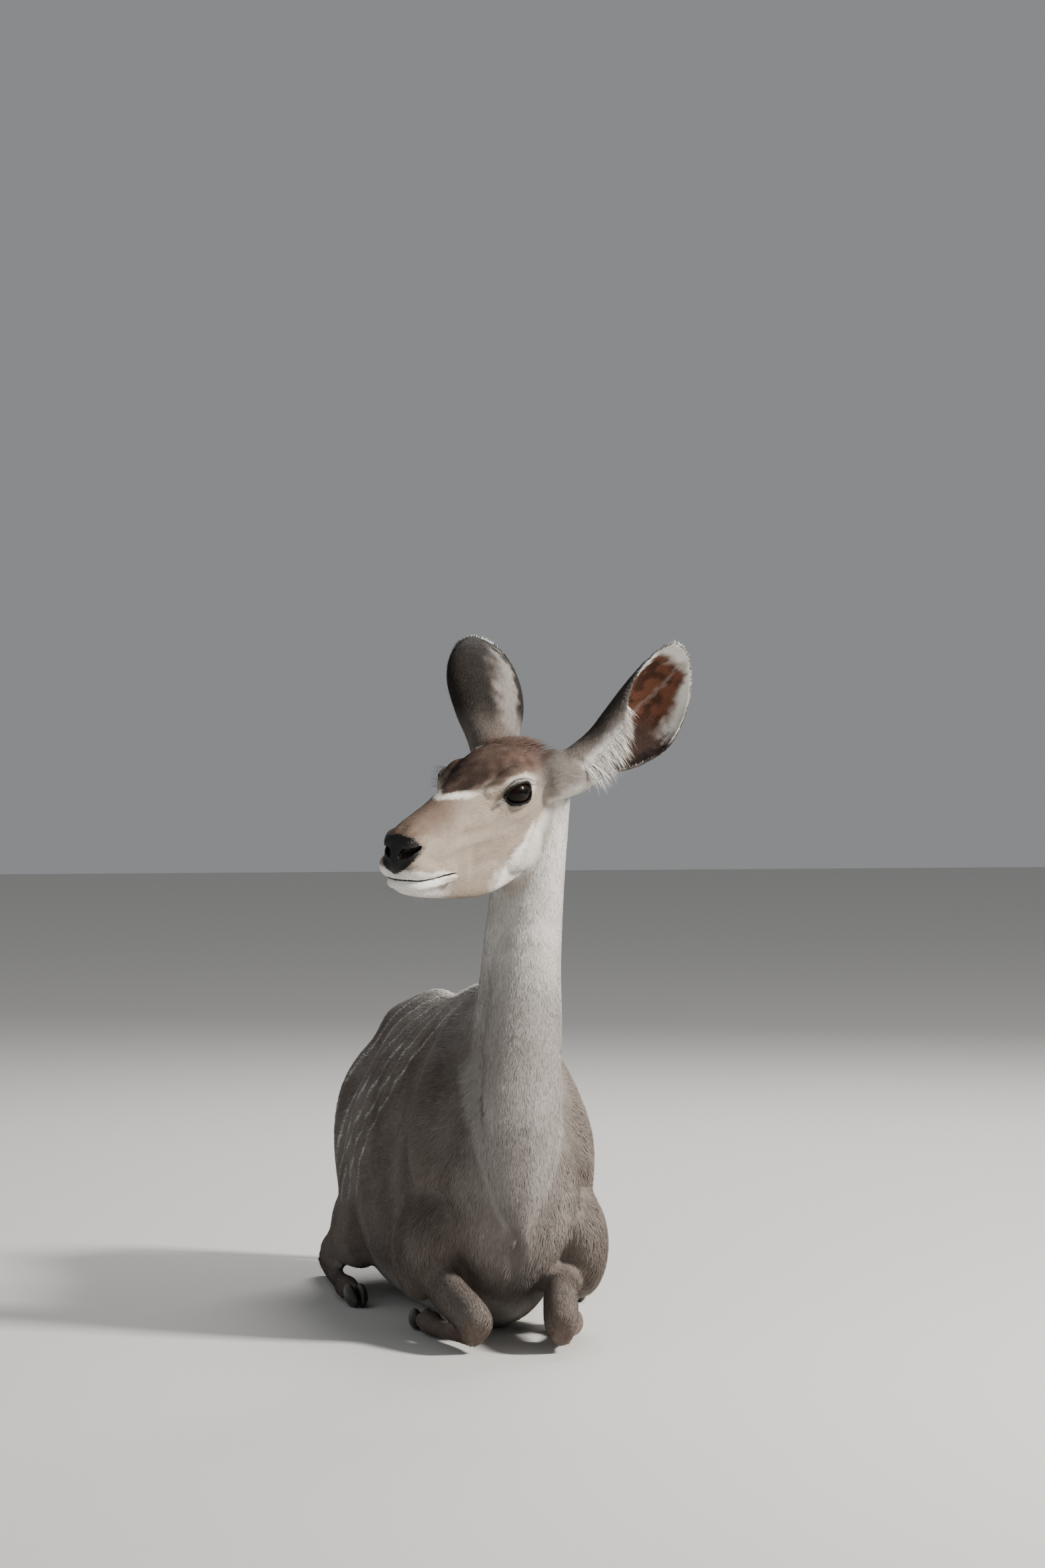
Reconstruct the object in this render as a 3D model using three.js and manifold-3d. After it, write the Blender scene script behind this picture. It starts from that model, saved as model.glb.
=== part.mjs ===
// A greater kudu cow lying on her chest with the neck upright and the head turned to her right,
// ears up and alert, both forelegs folded under the brisket and both hind legs folded beside the belly.
// Millimetres, +Z up, the floor at z = 0. She faces -Y, and her left side is +X.
// The origin is on the floor under the flat of the belly.
import * as THREE from "three";
import { mergeVertices } from "three/addons/utils/BufferGeometryUtils.js";
import Module from "manifold-3d";

const wasm = await Module();
wasm.setup();
const { Vector3, Matrix4 } = THREE;
const V = (x, y, z) => new Vector3(x, y, z);
const UP = V(0, 0, 1);
const deg = THREE.MathUtils.degToRad;

// Driving dimensions
const GAP = 0.3; // clearance between touching nodes
const TRUNK_FRONT = -376; // front of the brisket
const TRUNK_BACK = 742; // point of the buttocks
const EYE_POINT = V(-57, -362, 856); // midway between the eyes
const HEADING = deg(45); // head turned to her right
const HEAD_DIP = deg(12); // muzzle below level
const HEAD_ROLL = deg(-5.8); // left side of the face carried a little low
const EYEBALL = 24; // radius
const EYE_OUT = 57; // eyeball's centre from the midline
const LID = 4; // thickness of the eyelids
const EAR_LENGTH = 258;
const EAR_HALF_WIDTH = 68;
const EAR_WALL = 4;
const EAR_SWAY = 40; // how far the lower edge of each ear bellies out from its axis
const CLAW_LENGTH = 58;

// Smooth curve through hand-set knots: a cubic Hermite with each slope taken across its neighbours.
function through(xs, ys) {
  const last = xs.length - 1;
  const slope = xs.map((_, i) => {
    const a = Math.max(i - 1, 0);
    const b = Math.min(i + 1, last);
    return (ys[b] - ys[a]) / (xs[b] - xs[a]);
  });
  return (x) => {
    const at = Math.min(Math.max(x, xs[0]), xs[last]);
    let i = 0;
    while (i < last - 1 && at > xs[i + 1]) i++;
    const h = xs[i + 1] - xs[i];
    const t = (at - xs[i]) / h;
    const t2 = t * t;
    const t3 = t2 * t;
    return (
      (2 * t3 - 3 * t2 + 1) * ys[i] +
      (t3 - 2 * t2 + t) * h * slope[i] +
      (3 * t2 - 2 * t3) * ys[i + 1] +
      (t3 - t2) * h * slope[i + 1]
    );
  };
}

// Round nose of a loft: rises from 0 at the end to 1 at distance reach inside it.
const dome = (distance, reach) => {
  const t = Math.min(Math.max(distance / reach, 0), 1);
  return Math.sqrt(Math.max(1 - (1 - t) ** 2, 0));
};

const power = (value, exponent) => Math.sign(value) * Math.abs(value) ** exponent;
const steps = (count) => Array.from({ length: count }, (_, i) => i);

// A closed manifold-3d solid from vertices and triangles.
function solidOf(points, faces) {
  const geometry = new THREE.BufferGeometry();
  geometry.setAttribute(
    "position",
    new THREE.Float32BufferAttribute(points.flatMap((p) => [p.x, p.y, p.z]), 3),
  );
  geometry.setIndex(faces.flat());
  return fromGeometry(geometry);
}

function fromGeometry(geometry) {
  const bare = geometry.clone();
  bare.deleteAttribute("normal");
  bare.deleteAttribute("uv");
  const merged = mergeVertices(bare, 1e-3);
  const triVerts = new Uint32Array(merged.index.array);
  const vertProperties = merged.attributes.position.array;
  const made = new wasm.Manifold(new wasm.Mesh({ numProp: 3, vertProperties, triVerts }));
  if (made.volume() > 0) return made;
  for (let i = 0; i < triVerts.length; i += 3)
    [triVerts[i + 1], triVerts[i + 2]] = [triVerts[i + 2], triVerts[i + 1]];
  return new wasm.Manifold(new wasm.Mesh({ numProp: 3, vertProperties, triVerts }));
}

// Skin over rings of equal point counts, closed by a fan at each end.
function loft(rings) {
  const count = rings[0].length;
  const points = rings.flat();
  const faces = [];
  for (let i = 0; i + 1 < rings.length; i++)
    for (let j = 0; j < count; j++) {
      const k = (j + 1) % count;
      const a = i * count + j;
      const b = i * count + k;
      faces.push([a, b, a + count], [b, b + count, a + count]);
    }
  for (const [start, forward] of [[0, false], [(rings.length - 1) * count, true]]) {
    const middle = V(0, 0, 0);
    for (let j = 0; j < count; j++) middle.add(points[start + j]);
    const centre = points.push(middle.divideScalar(count)) - 1;
    for (let j = 0; j < count; j++) {
      const a = start + j;
      const b = start + ((j + 1) % count);
      faces.push(forward ? [a, b, centre] : [b, a, centre]);
    }
  }
  return solidOf(points, faces);
}

// The course of a limb. Each stop is [x, y, z, half width, half depth], the width being measured
// along side. It returns the place, the two directions and the two half sizes at share t of the way.
function course(stops, side) {
  const path = new THREE.CatmullRomCurve3(stops.map((s) => V(s[0], s[1], s[2])), false, "centripetal");
  const share = stops.map((_, i) => i / (stops.length - 1));
  const wide = through(share, stops.map((s) => s[3]));
  const deep = through(share, stops.map((s) => s[4]));
  const length = path.getLength();
  return (t) => {
    const along = path.getTangent(t);
    const across = side.clone().addScaledVector(along, -side.dot(along)).normalize();
    const up = along.clone().cross(across);
    return { at: path.getPoint(t), along, across, up, wide: wide(t), deep: deep(t), length };
  };
}

// A limb: elliptical sections carried along its course, with both ends rounded.
function limb(stops, side, sections, around, grow = 0) {
  const where = course(stops, side);
  const rings = steps(sections + 1).map((i) => {
    const t = (1 - Math.cos((Math.PI * i) / sections)) / 2;
    const { at, across, up, wide, deep, length } = where(t);
    const reach = 0.7 * Math.min(wide, deep);
    const inside = Math.max(Math.min(t, 1 - t) * length, reach * 0.03);
    const size = dome(inside, reach);
    return steps(around).map((j) => {
      const turn = (2 * Math.PI * j) / around;
      return at
        .clone()
        .addScaledVector(across, (wide * size + grow) * Math.cos(turn))
        .addScaledVector(up, (deep * size + grow) * Math.sin(turn));
    });
  });
  return loft(rings);
}

// A lock of long hair: four flat sides tapering to a point. The root is sunk below the skin,
// and the lock leaves along out and bends over towards lie.
function lock(root, out, lie, length, width, thickness) {
  const start = out.clone().normalize();
  const end = lie.clone().normalize();
  const flat = start.clone().cross(end).normalize();
  const rings = [-0.25, 0.3, 0.68, 1].map((t) => {
    const bend = Math.max(t, 0);
    const heading = start.clone().lerp(end, bend).normalize();
    const at = root.clone().addScaledVector(start, length * t * (1 - 0.5 * bend));
    at.addScaledVector(end, length * t * 0.5 * bend);
    const thick = heading.clone().cross(flat);
    const size = t === 1 ? 0.04 : 1 - 0.72 * bend ** 1.5;
    return [
      at.clone().addScaledVector(flat, (width / 2) * size),
      at.clone().addScaledVector(thick, (thickness / 2) * size),
      at.clone().addScaledVector(flat, (-width / 2) * size),
      at.clone().addScaledVector(thick, (-thickness / 2) * size),
    ];
  });
  return loft(rings);
}

const joined = (...solids) => wasm.Manifold.union(solids);
function biggest(solid) {
  const bodies = solid.decompose();
  return bodies.reduce((a, b) => (a.volume() > b.volume() ? a : b));
}
function boxOf(low, high) {
  const size = high.clone().sub(low);
  const middle = high.clone().add(low).multiplyScalar(0.5);
  return fromGeometry(
    new THREE.BoxGeometry(size.x, size.y, size.z).translate(middle.x, middle.y, middle.z),
  );
}
const UNDER_FLOOR = boxOf(V(-900, -900, -400), V(900, 1200, 0));

// Trunk: sections across Y, egg-shaped with the fullest part low, flat where she lies on it.
const TRUNK_Y = [-376, -340, -290, -220, -140, -50, 60, 200, 340, 460, 560, 650, 742];
const trunkTop = through(TRUNK_Y, [325, 357, 409, 477, 525, 539, 527, 507, 497, 499, 489, 449, 379]);
const trunkHalf = through(TRUNK_Y, [78, 96, 110, 120, 130, 146, 166, 178, 180, 164, 144, 122, 94]);
const trunkFullest = through(TRUNK_Y, [236, 238, 240, 242, 244, 244, 238, 228, 226, 244, 262, 276, 284]);
const trunkFoot = through(TRUNK_Y, [150, 100, 60, 26, 2, -8, -12, -14, -14, -8, 10, 72, 158]);
const trunkBack = through(TRUNK_Y, [1.9, 1.9, 1.8, 1.7, 1.6, 1.55, 1.55, 1.6, 1.65, 1.75, 1.9, 2, 2]);
const trunkBelly = through(TRUNK_Y, [1.8, 1.8, 1.8, 1.9, 2, 2.1, 2.2, 2.3, 2.3, 2.2, 2.1, 2, 2]);
const TRUNK_AROUND = 24;

function trunkRing(y, grow) {
  const size = dome(y - TRUNK_FRONT + 1, 62) * dome(TRUNK_BACK + 1 - y, 110);
  const fullest = trunkFullest(y);
  const middle = (trunkTop(y) + trunkFoot(y)) / 2;
  return steps(TRUNK_AROUND).map((j) => {
    const turn = (2 * Math.PI * j) / TRUNK_AROUND;
    const above = Math.sin(turn) > 0;
    const exponent = 2 / (above ? trunkBack(y) : trunkBelly(y));
    const rise = above ? trunkTop(y) - fullest : fullest - trunkFoot(y);
    const x = trunkHalf(y) * power(Math.cos(turn), exponent);
    const z = fullest + rise * power(Math.sin(turn), exponent);
    return V(
      (x * size) + grow * Math.cos(turn),
      y,
      middle + (z - middle) * size + grow * Math.sin(turn),
    );
  });
}

function trunk(grow = 0) {
  const sections = 24;
  return loft(
    steps(sections + 1).map((i) => {
      const t = i / sections;
      const eased = 0.55 * t + 0.45 * ((1 - Math.cos(Math.PI * t)) / 2);
      return trunkRing(TRUNK_FRONT + (TRUNK_BACK - TRUNK_FRONT) * eased, grow);
    }),
  );
}

// Shoulder: the shoulder blade lies on the ribs and the upper arm folds back from its point to the elbow.
const shoulder = (s, grow = 0) =>
  joined(
    limb(
      [
        [s * 40, -30, 482, 22, 50],
        [s * 78, -112, 400, 38, 76],
        [s * 100, -200, 305, 46, 80],
        [s * 98, -268, 232, 40, 58],
      ],
      V(s, 0, 0.3), 10, 12, grow,
    ),
    limb(
      [
        [s * 96, -288, 222, 36, 58],
        [s * 116, -240, 164, 46, 84],
        [s * 126, -160, 130, 46, 84],
        [s * 118, -66, 120, 32, 60],
      ],
      V(s, 0, 0), 10, 12, grow,
    ),
  );

// Haunch: the thigh from the hip down and forward to the stifle, and the calf that fills in behind it.
const haunch = (s, grow = 0) =>
  joined(
    limb(
      [
        [s * 60, 612, 370, 52, 96],
        [s * 90, 530, 306, 78, 132],
        [s * 120, 410, 230, 60, 122],
        [s * 142, 300, 164, 38, 82],
        [s * 146, 240, 132, 26, 52],
      ],
      V(s, 0, 0.25), 12, 14, grow,
    ),
    limb(
      [
        [s * 138, 300, 126, 34, 66],
        [s * 146, 400, 116, 40, 82],
        [s * 152, 500, 100, 32, 66],
        [s * 158, 575, 78, 22, 40],
      ],
      V(s, 0, 0), 8, 12, grow,
    ),
  );

const torsoWhole = (grow) =>
  joined(trunk(grow), shoulder(1, grow), shoulder(-1, grow), haunch(1, grow), haunch(-1, grow));

// Neck: rises from between the shoulders, oval and deeper than wide, to the back of the skull.
const NECK_STOPS = [
  [4, -180, 282, 78, 186],
  [8, -190, 357, 75, 172],
  [14, -208, 429, 69, 142],
  [20, -232, 512, 65, 106],
  [25, -246, 612, 62, 84],
  [31, -254, 697, 59, 74],
  [36, -260, 769, 58, 70],
  [41, -264, 833, 57, 66],
  [46, -270, 880, 52, 54],
];
const NECK_SIDE = V(1, 0.12, 0);
const THROAT_STOPS = [
  [30, -278, 677, 48, 48],
  [22, -294, 527, 60, 57],
  [12, -320, 407, 66, 58],
  [5, -343, 310, 62, 52],
  [0, -357, 226, 46, 40],
  [-2, -358, 150, 20, 22],
];
const neckWhole = (grow = 0) =>
  joined(limb(NECK_STOPS, NECK_SIDE, 16, 18, grow), limb(THROAT_STOPS, V(1, 0, 0), 10, 12, grow));

// Head: a frame of its own with f along the muzzle, l to her left and u up from the face,
// placed midway between the eyes.
const headForward = V(
  -Math.sin(HEADING) * Math.cos(HEAD_DIP),
  -Math.cos(HEADING) * Math.cos(HEAD_DIP),
  -Math.sin(HEAD_DIP),
);
const levelLeft = UP.clone().cross(headForward).normalize();
const levelUp = headForward.clone().cross(levelLeft);
const headLeft = levelLeft
  .clone()
  .multiplyScalar(Math.cos(HEAD_ROLL))
  .addScaledVector(levelUp, Math.sin(HEAD_ROLL));
const headUp = headForward.clone().cross(headLeft);
const HEAD = new Matrix4().makeBasis(headForward, headLeft, headUp).setPosition(EYE_POINT);
const onHead = (f, l, u) => V(f, l, u).applyMatrix4(HEAD);

const HEAD_F = [-150, -120, -80, -40, 0, 40, 80, 120, 160, 195, 218, 232];
const faceTop = through(HEAD_F, [10, 44, 60, 61, 52, 38, 25, 14, 5, -4, -16, -40]);
const jawLine = through(HEAD_F, [-50, -102, -136, -152, -158, -158, -151, -141, -130, -118, -103, -82]);
const browHalf = through(HEAD_F, [36, 54, 65, 70, 69, 55, 44, 37, 33, 31, 26, 14]);
const cheekHalf = through(HEAD_F, [38, 54, 60, 60, 56, 50, 44, 39, 37, 35, 29, 16]);
const jawHalf = through(HEAD_F, [24, 36, 42, 42, 40, 36, 32, 29, 28, 28, 23, 12]);
const crownHalf = through(HEAD_F, [18, 28, 34, 36, 34, 28, 22, 18, 17, 17, 14, 8]);
const HEAD_AROUND = 22;

function headRing(f, grow) {
  const top = faceTop(f);
  const low = jawLine(f);
  const tall = top - low;
  const size = dome(f + 152, 24) * dome(234 - f, 20);
  const middle = (top + low) / 2;
  const right = [
    [0, 0], [jawHalf(f) * 0.62, 0.02], [jawHalf(f), 0.17], [cheekHalf(f), 0.48],
    [browHalf(f), 0.78], [crownHalf(f), 0.965], [0, 1],
  ];
  const left = right.slice(1, -1).reverse().map(([w, h]) => [-w, h]);
  const outline = new THREE.CatmullRomCurve3(
    [...right, ...left].map(([w, h]) => V(w, low + tall * h, 0)),
    true,
    "centripetal",
  );
  return steps(HEAD_AROUND).map((j) => {
    const p = outline.getPoint(j / HEAD_AROUND);
    const away = V(p.x, p.y - middle, 0).normalize();
    return onHead(f, p.x * size + grow * away.x, middle + (p.y - middle) * size + grow * away.y);
  });
}

function skull(grow = 0) {
  const sections = 22;
  return loft(
    steps(sections + 1).map((i) => {
      const t = i / sections;
      const eased = 0.6 * t + 0.4 * ((1 - Math.cos(Math.PI * t)) / 2);
      return headRing(-151 + 384 * eased, grow);
    }),
  );
}

const onHeadWay = (f, l, u) => onHead(f, l, u).sub(EYE_POINT);
const eyeCentre = (s) => onHead(-6, s * EYE_OUT, 3);
function ball(at, radius, around = 16) {
  const rings = Math.round(around * 0.7);
  return fromGeometry(new THREE.SphereGeometry(radius, around, rings).translate(at.x, at.y, at.z));
}
const eyeball = (s, radius = EYEBALL) => ball(eyeCentre(s), radius);

// The almond between the lids, as a prism that runs out from inside the eyeball.
function almond(s) {
  const out = onHeadWay(0.34, s, 0.1).normalize();
  const along = onHeadWay(1, 0, -0.06);
  along.addScaledVector(out, -out.dot(along)).normalize();
  const up = onHeadWay(0, 0, 1);
  up.addScaledVector(out, -out.dot(up)).addScaledVector(along, -along.dot(up)).normalize();
  const rim = steps(14).map((j) => {
    const turn = (2 * Math.PI * j) / 14;
    const tall = Math.sin(turn) > 0 ? 16 : 14;
    return [25.5 * Math.cos(turn), tall * power(Math.sin(turn), 1.3) - 1];
  });
  return loft(
    [6, 60].map((far) =>
      rim.map(([a, b]) =>
        eyeCentre(s).addScaledVector(out, far).addScaledVector(along, a).addScaledVector(up, b),
      ),
    ),
  );
}

// The mouth's course, from the left corner round the front of the muzzle to the right one.
const MOUTH = [[128, 41, -93], [152, 38.5, -90], [182, 35, -89], [210, 25, -87], [224, 8, -84]];
function mouthBand(lift, tall, deep) {
  const stops = [...MOUTH, ...MOUTH.toReversed().map(([f, l, u]) => [f, -l, u])].map(([f, l, u]) => {
    const p = onHead(f, l, u + lift);
    return [p.x, p.y, p.z, tall, deep];
  });
  return limb(stops, headUp, 14, 6);
}

// A thin bump or hollow on the head, given by stops in the head's own frame.
const onFace = (stops, side, sections, around, grow = 0) =>
  limb(
    stops.map(([f, l, u, wide, deep]) => [...onHead(f, l, u).toArray(), wide, deep]),
    side,
    sections,
    around,
    grow,
  );
const nostril = (s) =>
  onFace(
    [
      [227, s * 7, -50, 3, 5],
      [221, s * 14, -43, 8, 10],
      [211, s * 22, -38, 8, 8.5],
      [200, s * 30, -35, 3, 4],
    ],
    headUp, 5, 8,
  );
const nostrilWing = (s) =>
  onFace(
    [
      [221, s * 10, -37, 11, 11],
      [211, s * 17, -31, 13, 12],
      [196, s * 23, -27, 12, 11],
      [180, s * 26, -26, 7, 7],
    ],
    headUp, 6, 10,
  );
// The full upper lip, thick in front and running out at the corner of the mouth.
const lipPad = (s) =>
  onFace(
    [
      [222, s * 2, -66, 8, 10],
      [213, s * 20, -68, 19, 18],
      [192, s * 33, -74, 15, 14],
      [162, s * 38, -83, 5, 8],
    ],
    headUp, 5, 10,
  );
// The gristly burr that each ear stands on.
const BURR_STOPS = {
  left: [
    [-44, 40, 6, 18, 24],
    [-84, 42, 6, 33, 41],
    [-110, 60, 6, 41, 46],
    [-130, 82, 10, 36, 40],
    [-147, 101, 23, 27, 30],
  ],
  right: [
    [-46, -40, 6, 18, 22],
    [-88, -40, 10, 30, 36],
    [-104, -46, 14, 33, 34],
    [-110, -60, 24, 29, 28],
  ],
};
const earBurr = (side, grow = 0) => onFace(BURR_STOPS[side], headUp, 6, 12, grow);

const FOREHEAD_TUFT = [-112, -88, -64].flatMap((f, row) =>
  (row % 2 ? [-18, 0, 18] : [-10, 10]).map((l) =>
    lock(onHead(f, l, faceTop(f) - 3), onHeadWay(-0.9, l / 60, 0.8), onHeadWay(-1, l / 40, 0.2), 30, 15, 6),
  ),
);

const headWhole = () =>
  joined(
    skull(),
    ...[1, -1].flatMap((s) => [ball(eyeCentre(s), EYEBALL + LID, 14), nostrilWing(s), lipPad(s)]),
    earBurr("left"),
    earBurr("right"),
    mouthBand(8, 8, 4.5),
    mouthBand(-8, 7, 4),
  );
const headCuts = joined(
  ...[1, -1].flatMap((s) => [eyeball(s, EYEBALL + GAP), almond(s), nostril(s)]),
  mouthBand(0, 1.4, 15),
);

// Ear: a cupped leaf with a wall, rolled nearly shut at its root and open towards the tip.
// long is the ear's own length and opening is the way that its cup faces. sway bellies its lower
// edge out. Long hairs leave the front rim and cross the cup.
function ear(root, long, opening, sway, s) {
  const along = long.clone().normalize();
  const faces = opening.clone().addScaledVector(along, -opening.dot(along)).normalize();
  const across = along.clone().cross(faces);
  const S = [0, 0.1, 0.25, 0.42, 0.58, 0.74, 0.87, 0.95, 1];
  const half = through(S, [0.62, 0.68, 0.88, 1.08, 1.08, 0.93, 0.7, 0.48, 0.2]);
  const cup = through(S, [30, 30, 31, 31, 28, 21, 13, 8, 3]);
  const wrapBack = through(S, [160, 150, 122, 100, 90, 84, 76, 70, 66]);
  const wrapFront = through(S, [172, 170, 160, 140, 114, 94, 80, 71, 66]);
  const bow = through(S, [0, 2, 6, 9, 8, 4, -3, -9, -13]);
  const belly = through(S, [-0.5, -0.1, 0.7, 1.15, 1.15, 0.9, 0.55, 0.28, 0]);
  const sections = 11;
  const slats = 10;
  const spot = (t, turn, shrink) =>
    root
      .clone()
      .addScaledVector(along, t * EAR_LENGTH)
      .addScaledVector(across, sway * belly(t) + (EAR_HALF_WIDTH * half(t) - shrink) * Math.sin(turn))
      .addScaledVector(faces, -bow(t) - (cup(t) - shrink) * Math.cos(turn));
  const ring = (t, shrink) =>
    steps(slats + 1).map((j) => {
      const share = (2 * j) / slats - 1;
      const wrap = share * s < 0 ? wrapFront(t) : wrapBack(t);
      return spot(t, deg(wrap) * share, shrink);
    });
  const shares = steps(sections + 1).map((i) => i / sections);
  const wall = (t) => Math.min(EAR_WALL, EAR_WALL * (0.35 + (1 - t) * 3), cup(t) * 0.5);
  const points = [...shares.flatMap((t) => ring(t, 0)), ...shares.flatMap((t) => ring(t, wall(t)))];
  const count = slats + 1;
  const inner = shares.length * count;
  const end = sections * count;
  const faceList = [];
  const quad = (a, b, c, d) => faceList.push([a, b, c], [a, c, d]);
  for (const i of steps(sections)) {
    const a = i * count;
    const b = a + slats;
    for (const k of steps(slats).map((j) => a + j)) {
      quad(k, k + 1, k + count + 1, k + count);
      quad(inner + k + count, inner + k + count + 1, inner + k + 1, inner + k);
    }
    quad(a, a + count, inner + a + count, inner + a);
    quad(b + count, b, inner + b, inner + b + count);
  }
  for (const j of steps(slats)) {
    quad(j + 1, j, inner + j, inner + j + 1);
    quad(end + j, end + j + 1, inner + end + j + 1, inner + end + j);
  }
  const fringe = steps(5).map((i) => {
    const t = 0.2 + 0.085 * i;
    const over = across.clone().multiplyScalar(s);
    const at = spot(t, -s * deg(wrapFront(t)) * 0.95, wall(t) * 0.5);
    const leaning = over.clone().addScaledVector(faces, 0.7).addScaledVector(along, 0.25);
    return lock(at, leaning, over.addScaledVector(along, 0.45), 40 - 2 * i, 10, 3);
  });
  return joined(solidOf(points, faceList), ...fringe);
}

const EARS = {
  left: ear(onHead(-140, 86, -2), V(0.55, -0.17, 0.81), V(0.4, -0.85, -0.36), EAR_SWAY, 1),
  right: ear(onHead(-110, -60, 18), V(0.11, 0.68, 0.74), V(-0.5, 0.78, -0.4), EAR_SWAY * 0.4, -1),
};

// One claw of a cloven hoof. It leaves the pastern at coronet and points along way.
function claw(coronet, way, up, outward, s) {
  const place = (far, out, high, wide, deep) => {
    const at = coronet.clone().addScaledVector(way, far).addScaledVector(outward, s * out);
    return [...at.addScaledVector(up, high).toArray(), wide, deep];
  };
  const stops = [
    place(-8, 9.5, 0, 8.6, 15),
    place(14, 10, 0, 8.8, 17),
    place(34, 9, -2, 8, 14),
    place(CLAW_LENGTH, 5, -6, 4, 6),
  ];
  return limb(stops, outward, 6, 8);
}

// A foot: the pastern is cut square at the coronet, and the two claws begin a thin gap beyond it.
function foot(cannon, coronet, way, up) {
  const ahead = way.clone().normalize();
  const outward = ahead.clone().cross(up).normalize();
  const at = ahead.dot(coronet);
  const keep = (solid, side, far) =>
    solid.trimByPlane(ahead.clone().multiplyScalar(side).toArray(), side * far);
  return {
    cannon: keep(cannon, -1, at),
    claws: [1, -1].map((s) => keep(claw(coronet, ahead, up, outward, s), 1, at + GAP)),
  };
}

// Folded foreleg: forearm forward to the knee, then the cannon doubled back under it with the sole up.
function foreleg(s, knee, fetlock) {
  const forearm = limb(
    [
      [s * 118, -76, 138, 30, 42],
      [s * 110, -170, 118, 36, 46],
      [knee[0] + s * 24, -310, 82, 29, 36],
      [knee[0], knee[1], 50, 28, 32],
      [knee[0] - s * 2, knee[1] - 20, 38, 23, 26],
    ],
    V(1, 0, 0), 12, 12,
  );
  const cannon = limb(
    [
      [knee[0], knee[1] - 10, 34, 22, 24],
      [knee[0] + s * 8, knee[1] + 60, 24, 17, 17],
      [fetlock[0] - s * 6, fetlock[1] - 60, 20, 15, 16],
      [fetlock[0], fetlock[1], 21, 20, 21],
      [fetlock[0] + s * 2, fetlock[1] + 34, 19, 16, 16],
      [fetlock[0] + s * 4, fetlock[1] + 78, 18, 18, 16],
    ],
    V(1, 0, 0), 12, 10,
  );
  const coronet = V(fetlock[0] + s * 3, fetlock[1] + 58, 18.5);
  const parts = foot(cannon, coronet, V(s * 0.05, 1, -0.02), UP);
  return { leg: joined(forearm, parts.cannon), claws: parts.claws };
}

// Folded hind leg below the stifle: the shank back to the hock, then the cannon forward along the floor.
function hindleg(s, hock, fetlock) {
  const shank = limb(
    [
      [s * 150, 268, 106, 28, 48],
      [s * 158, 350, 96, 34, 52],
      [s * 162, 470, 76, 28, 40],
      [hock[0], hock[1] - 50, 54, 20, 28],
      [hock[0], hock[1], 40, 18, 30],
    ],
    V(1, 0, 0), 12, 12,
  );
  const cannon = limb(
    [
      [hock[0], hock[1] + 14, 36, 19, 30],
      [hock[0] + s * 5, hock[1] - 60, 24, 16, 21],
      [fetlock[0] - s * 3, fetlock[1] + 120, 19, 14, 17],
      [fetlock[0], fetlock[1], 21, 20, 21],
      [fetlock[0] - s * 3, fetlock[1] - 36, 20, 16, 16],
      [fetlock[0] - s * 6, fetlock[1] - 82, 20, 18, 16],
    ],
    V(1, 0, 0), 13, 10,
  );
  const coronet = V(fetlock[0] - s * 4, fetlock[1] - 62, 19.5);
  const parts = foot(cannon, coronet, V(-s * 0.05, -1, -0.1), UP);
  return { leg: joined(shank, parts.cannon), claws: parts.claws };
}

const LEGS = {
  foreleg_left: foreleg(1, [52, -452], [108, -210]),
  foreleg_right: foreleg(-1, [-78, -440], [-114, -200]),
  hindleg_left: hindleg(1, [174, 622], [192, 300]),
  hindleg_right: hindleg(-1, [-170, 628], [-184, 278]),
};

// Tail: hangs down behind the rump to the floor, with a tuft at its tip.
const TAIL_STOPS = [
  [0, 690, 429, 17, 15],
  [4, 742, 384, 18, 15],
  [9, 762, 310, 18, 14],
  [14, 768, 215, 19, 14],
  [22, 762, 126, 21, 14],
  [32, 752, 58, 15, 11],
];
function tail() {
  const where = course(TAIL_STOPS, V(1, 0, 0));
  const tuft = [0.52, 0.7, 0.88].flatMap((t, row) =>
    (row % 2 ? [-1, 0, 1] : [-0.6, 0.6]).map((way) => {
      const { at, along, across, up, wide, deep } = where(t);
      const out = across.clone().multiplyScalar(way * 0.5).addScaledVector(up, 0.4).add(along);
      const root = at.clone().addScaledVector(across, way * wide * 0.7).addScaledVector(up, deep * 0.5);
      return lock(root, out, along, 58, 20, 9);
    }),
  );
  return joined(limb(TAIL_STOPS, V(1, 0, 0), 12, 10), ...tuft);
}

// Short mane down the back of the neck, and the crest that goes on along the spine.
function mane() {
  const where = course(NECK_STOPS, NECK_SIDE);
  return steps(13).map((i) => {
    const { at, along, across, up, deep } = where(0.95 - 0.052 * i);
    const root = at.clone().addScaledVector(up, deep - 3).addScaledVector(across, i % 2 ? 3 : -3);
    const down = along.clone().negate();
    return lock(root, up.clone().add(down), down.addScaledVector(up, 0.35), 48 - (i % 3) * 5, 30, 8);
  });
}
const spineCrest = () =>
  steps(15).map((i) => {
    const y = -104 + 43 * i;
    const root = V(i % 2 ? 4 : -4, y, trunkTop(y) - 4);
    return lock(root, V(0, 1, 0.65), V(0, 1, 0.1), 48 - i + 4 * (i % 2), 30, 7);
  });

const coat = (colour) => new THREE.MeshStandardMaterial({ color: colour, roughness: 0.9 });
const TAN = coat(0x8f7f72);
const GREY = coat(0xa59d95);
const horn = new THREE.MeshStandardMaterial({ color: 0x1c1917, roughness: 0.45 });
const wet = new THREE.MeshStandardMaterial({ color: 0x140e0b, roughness: 0.08 });

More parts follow.
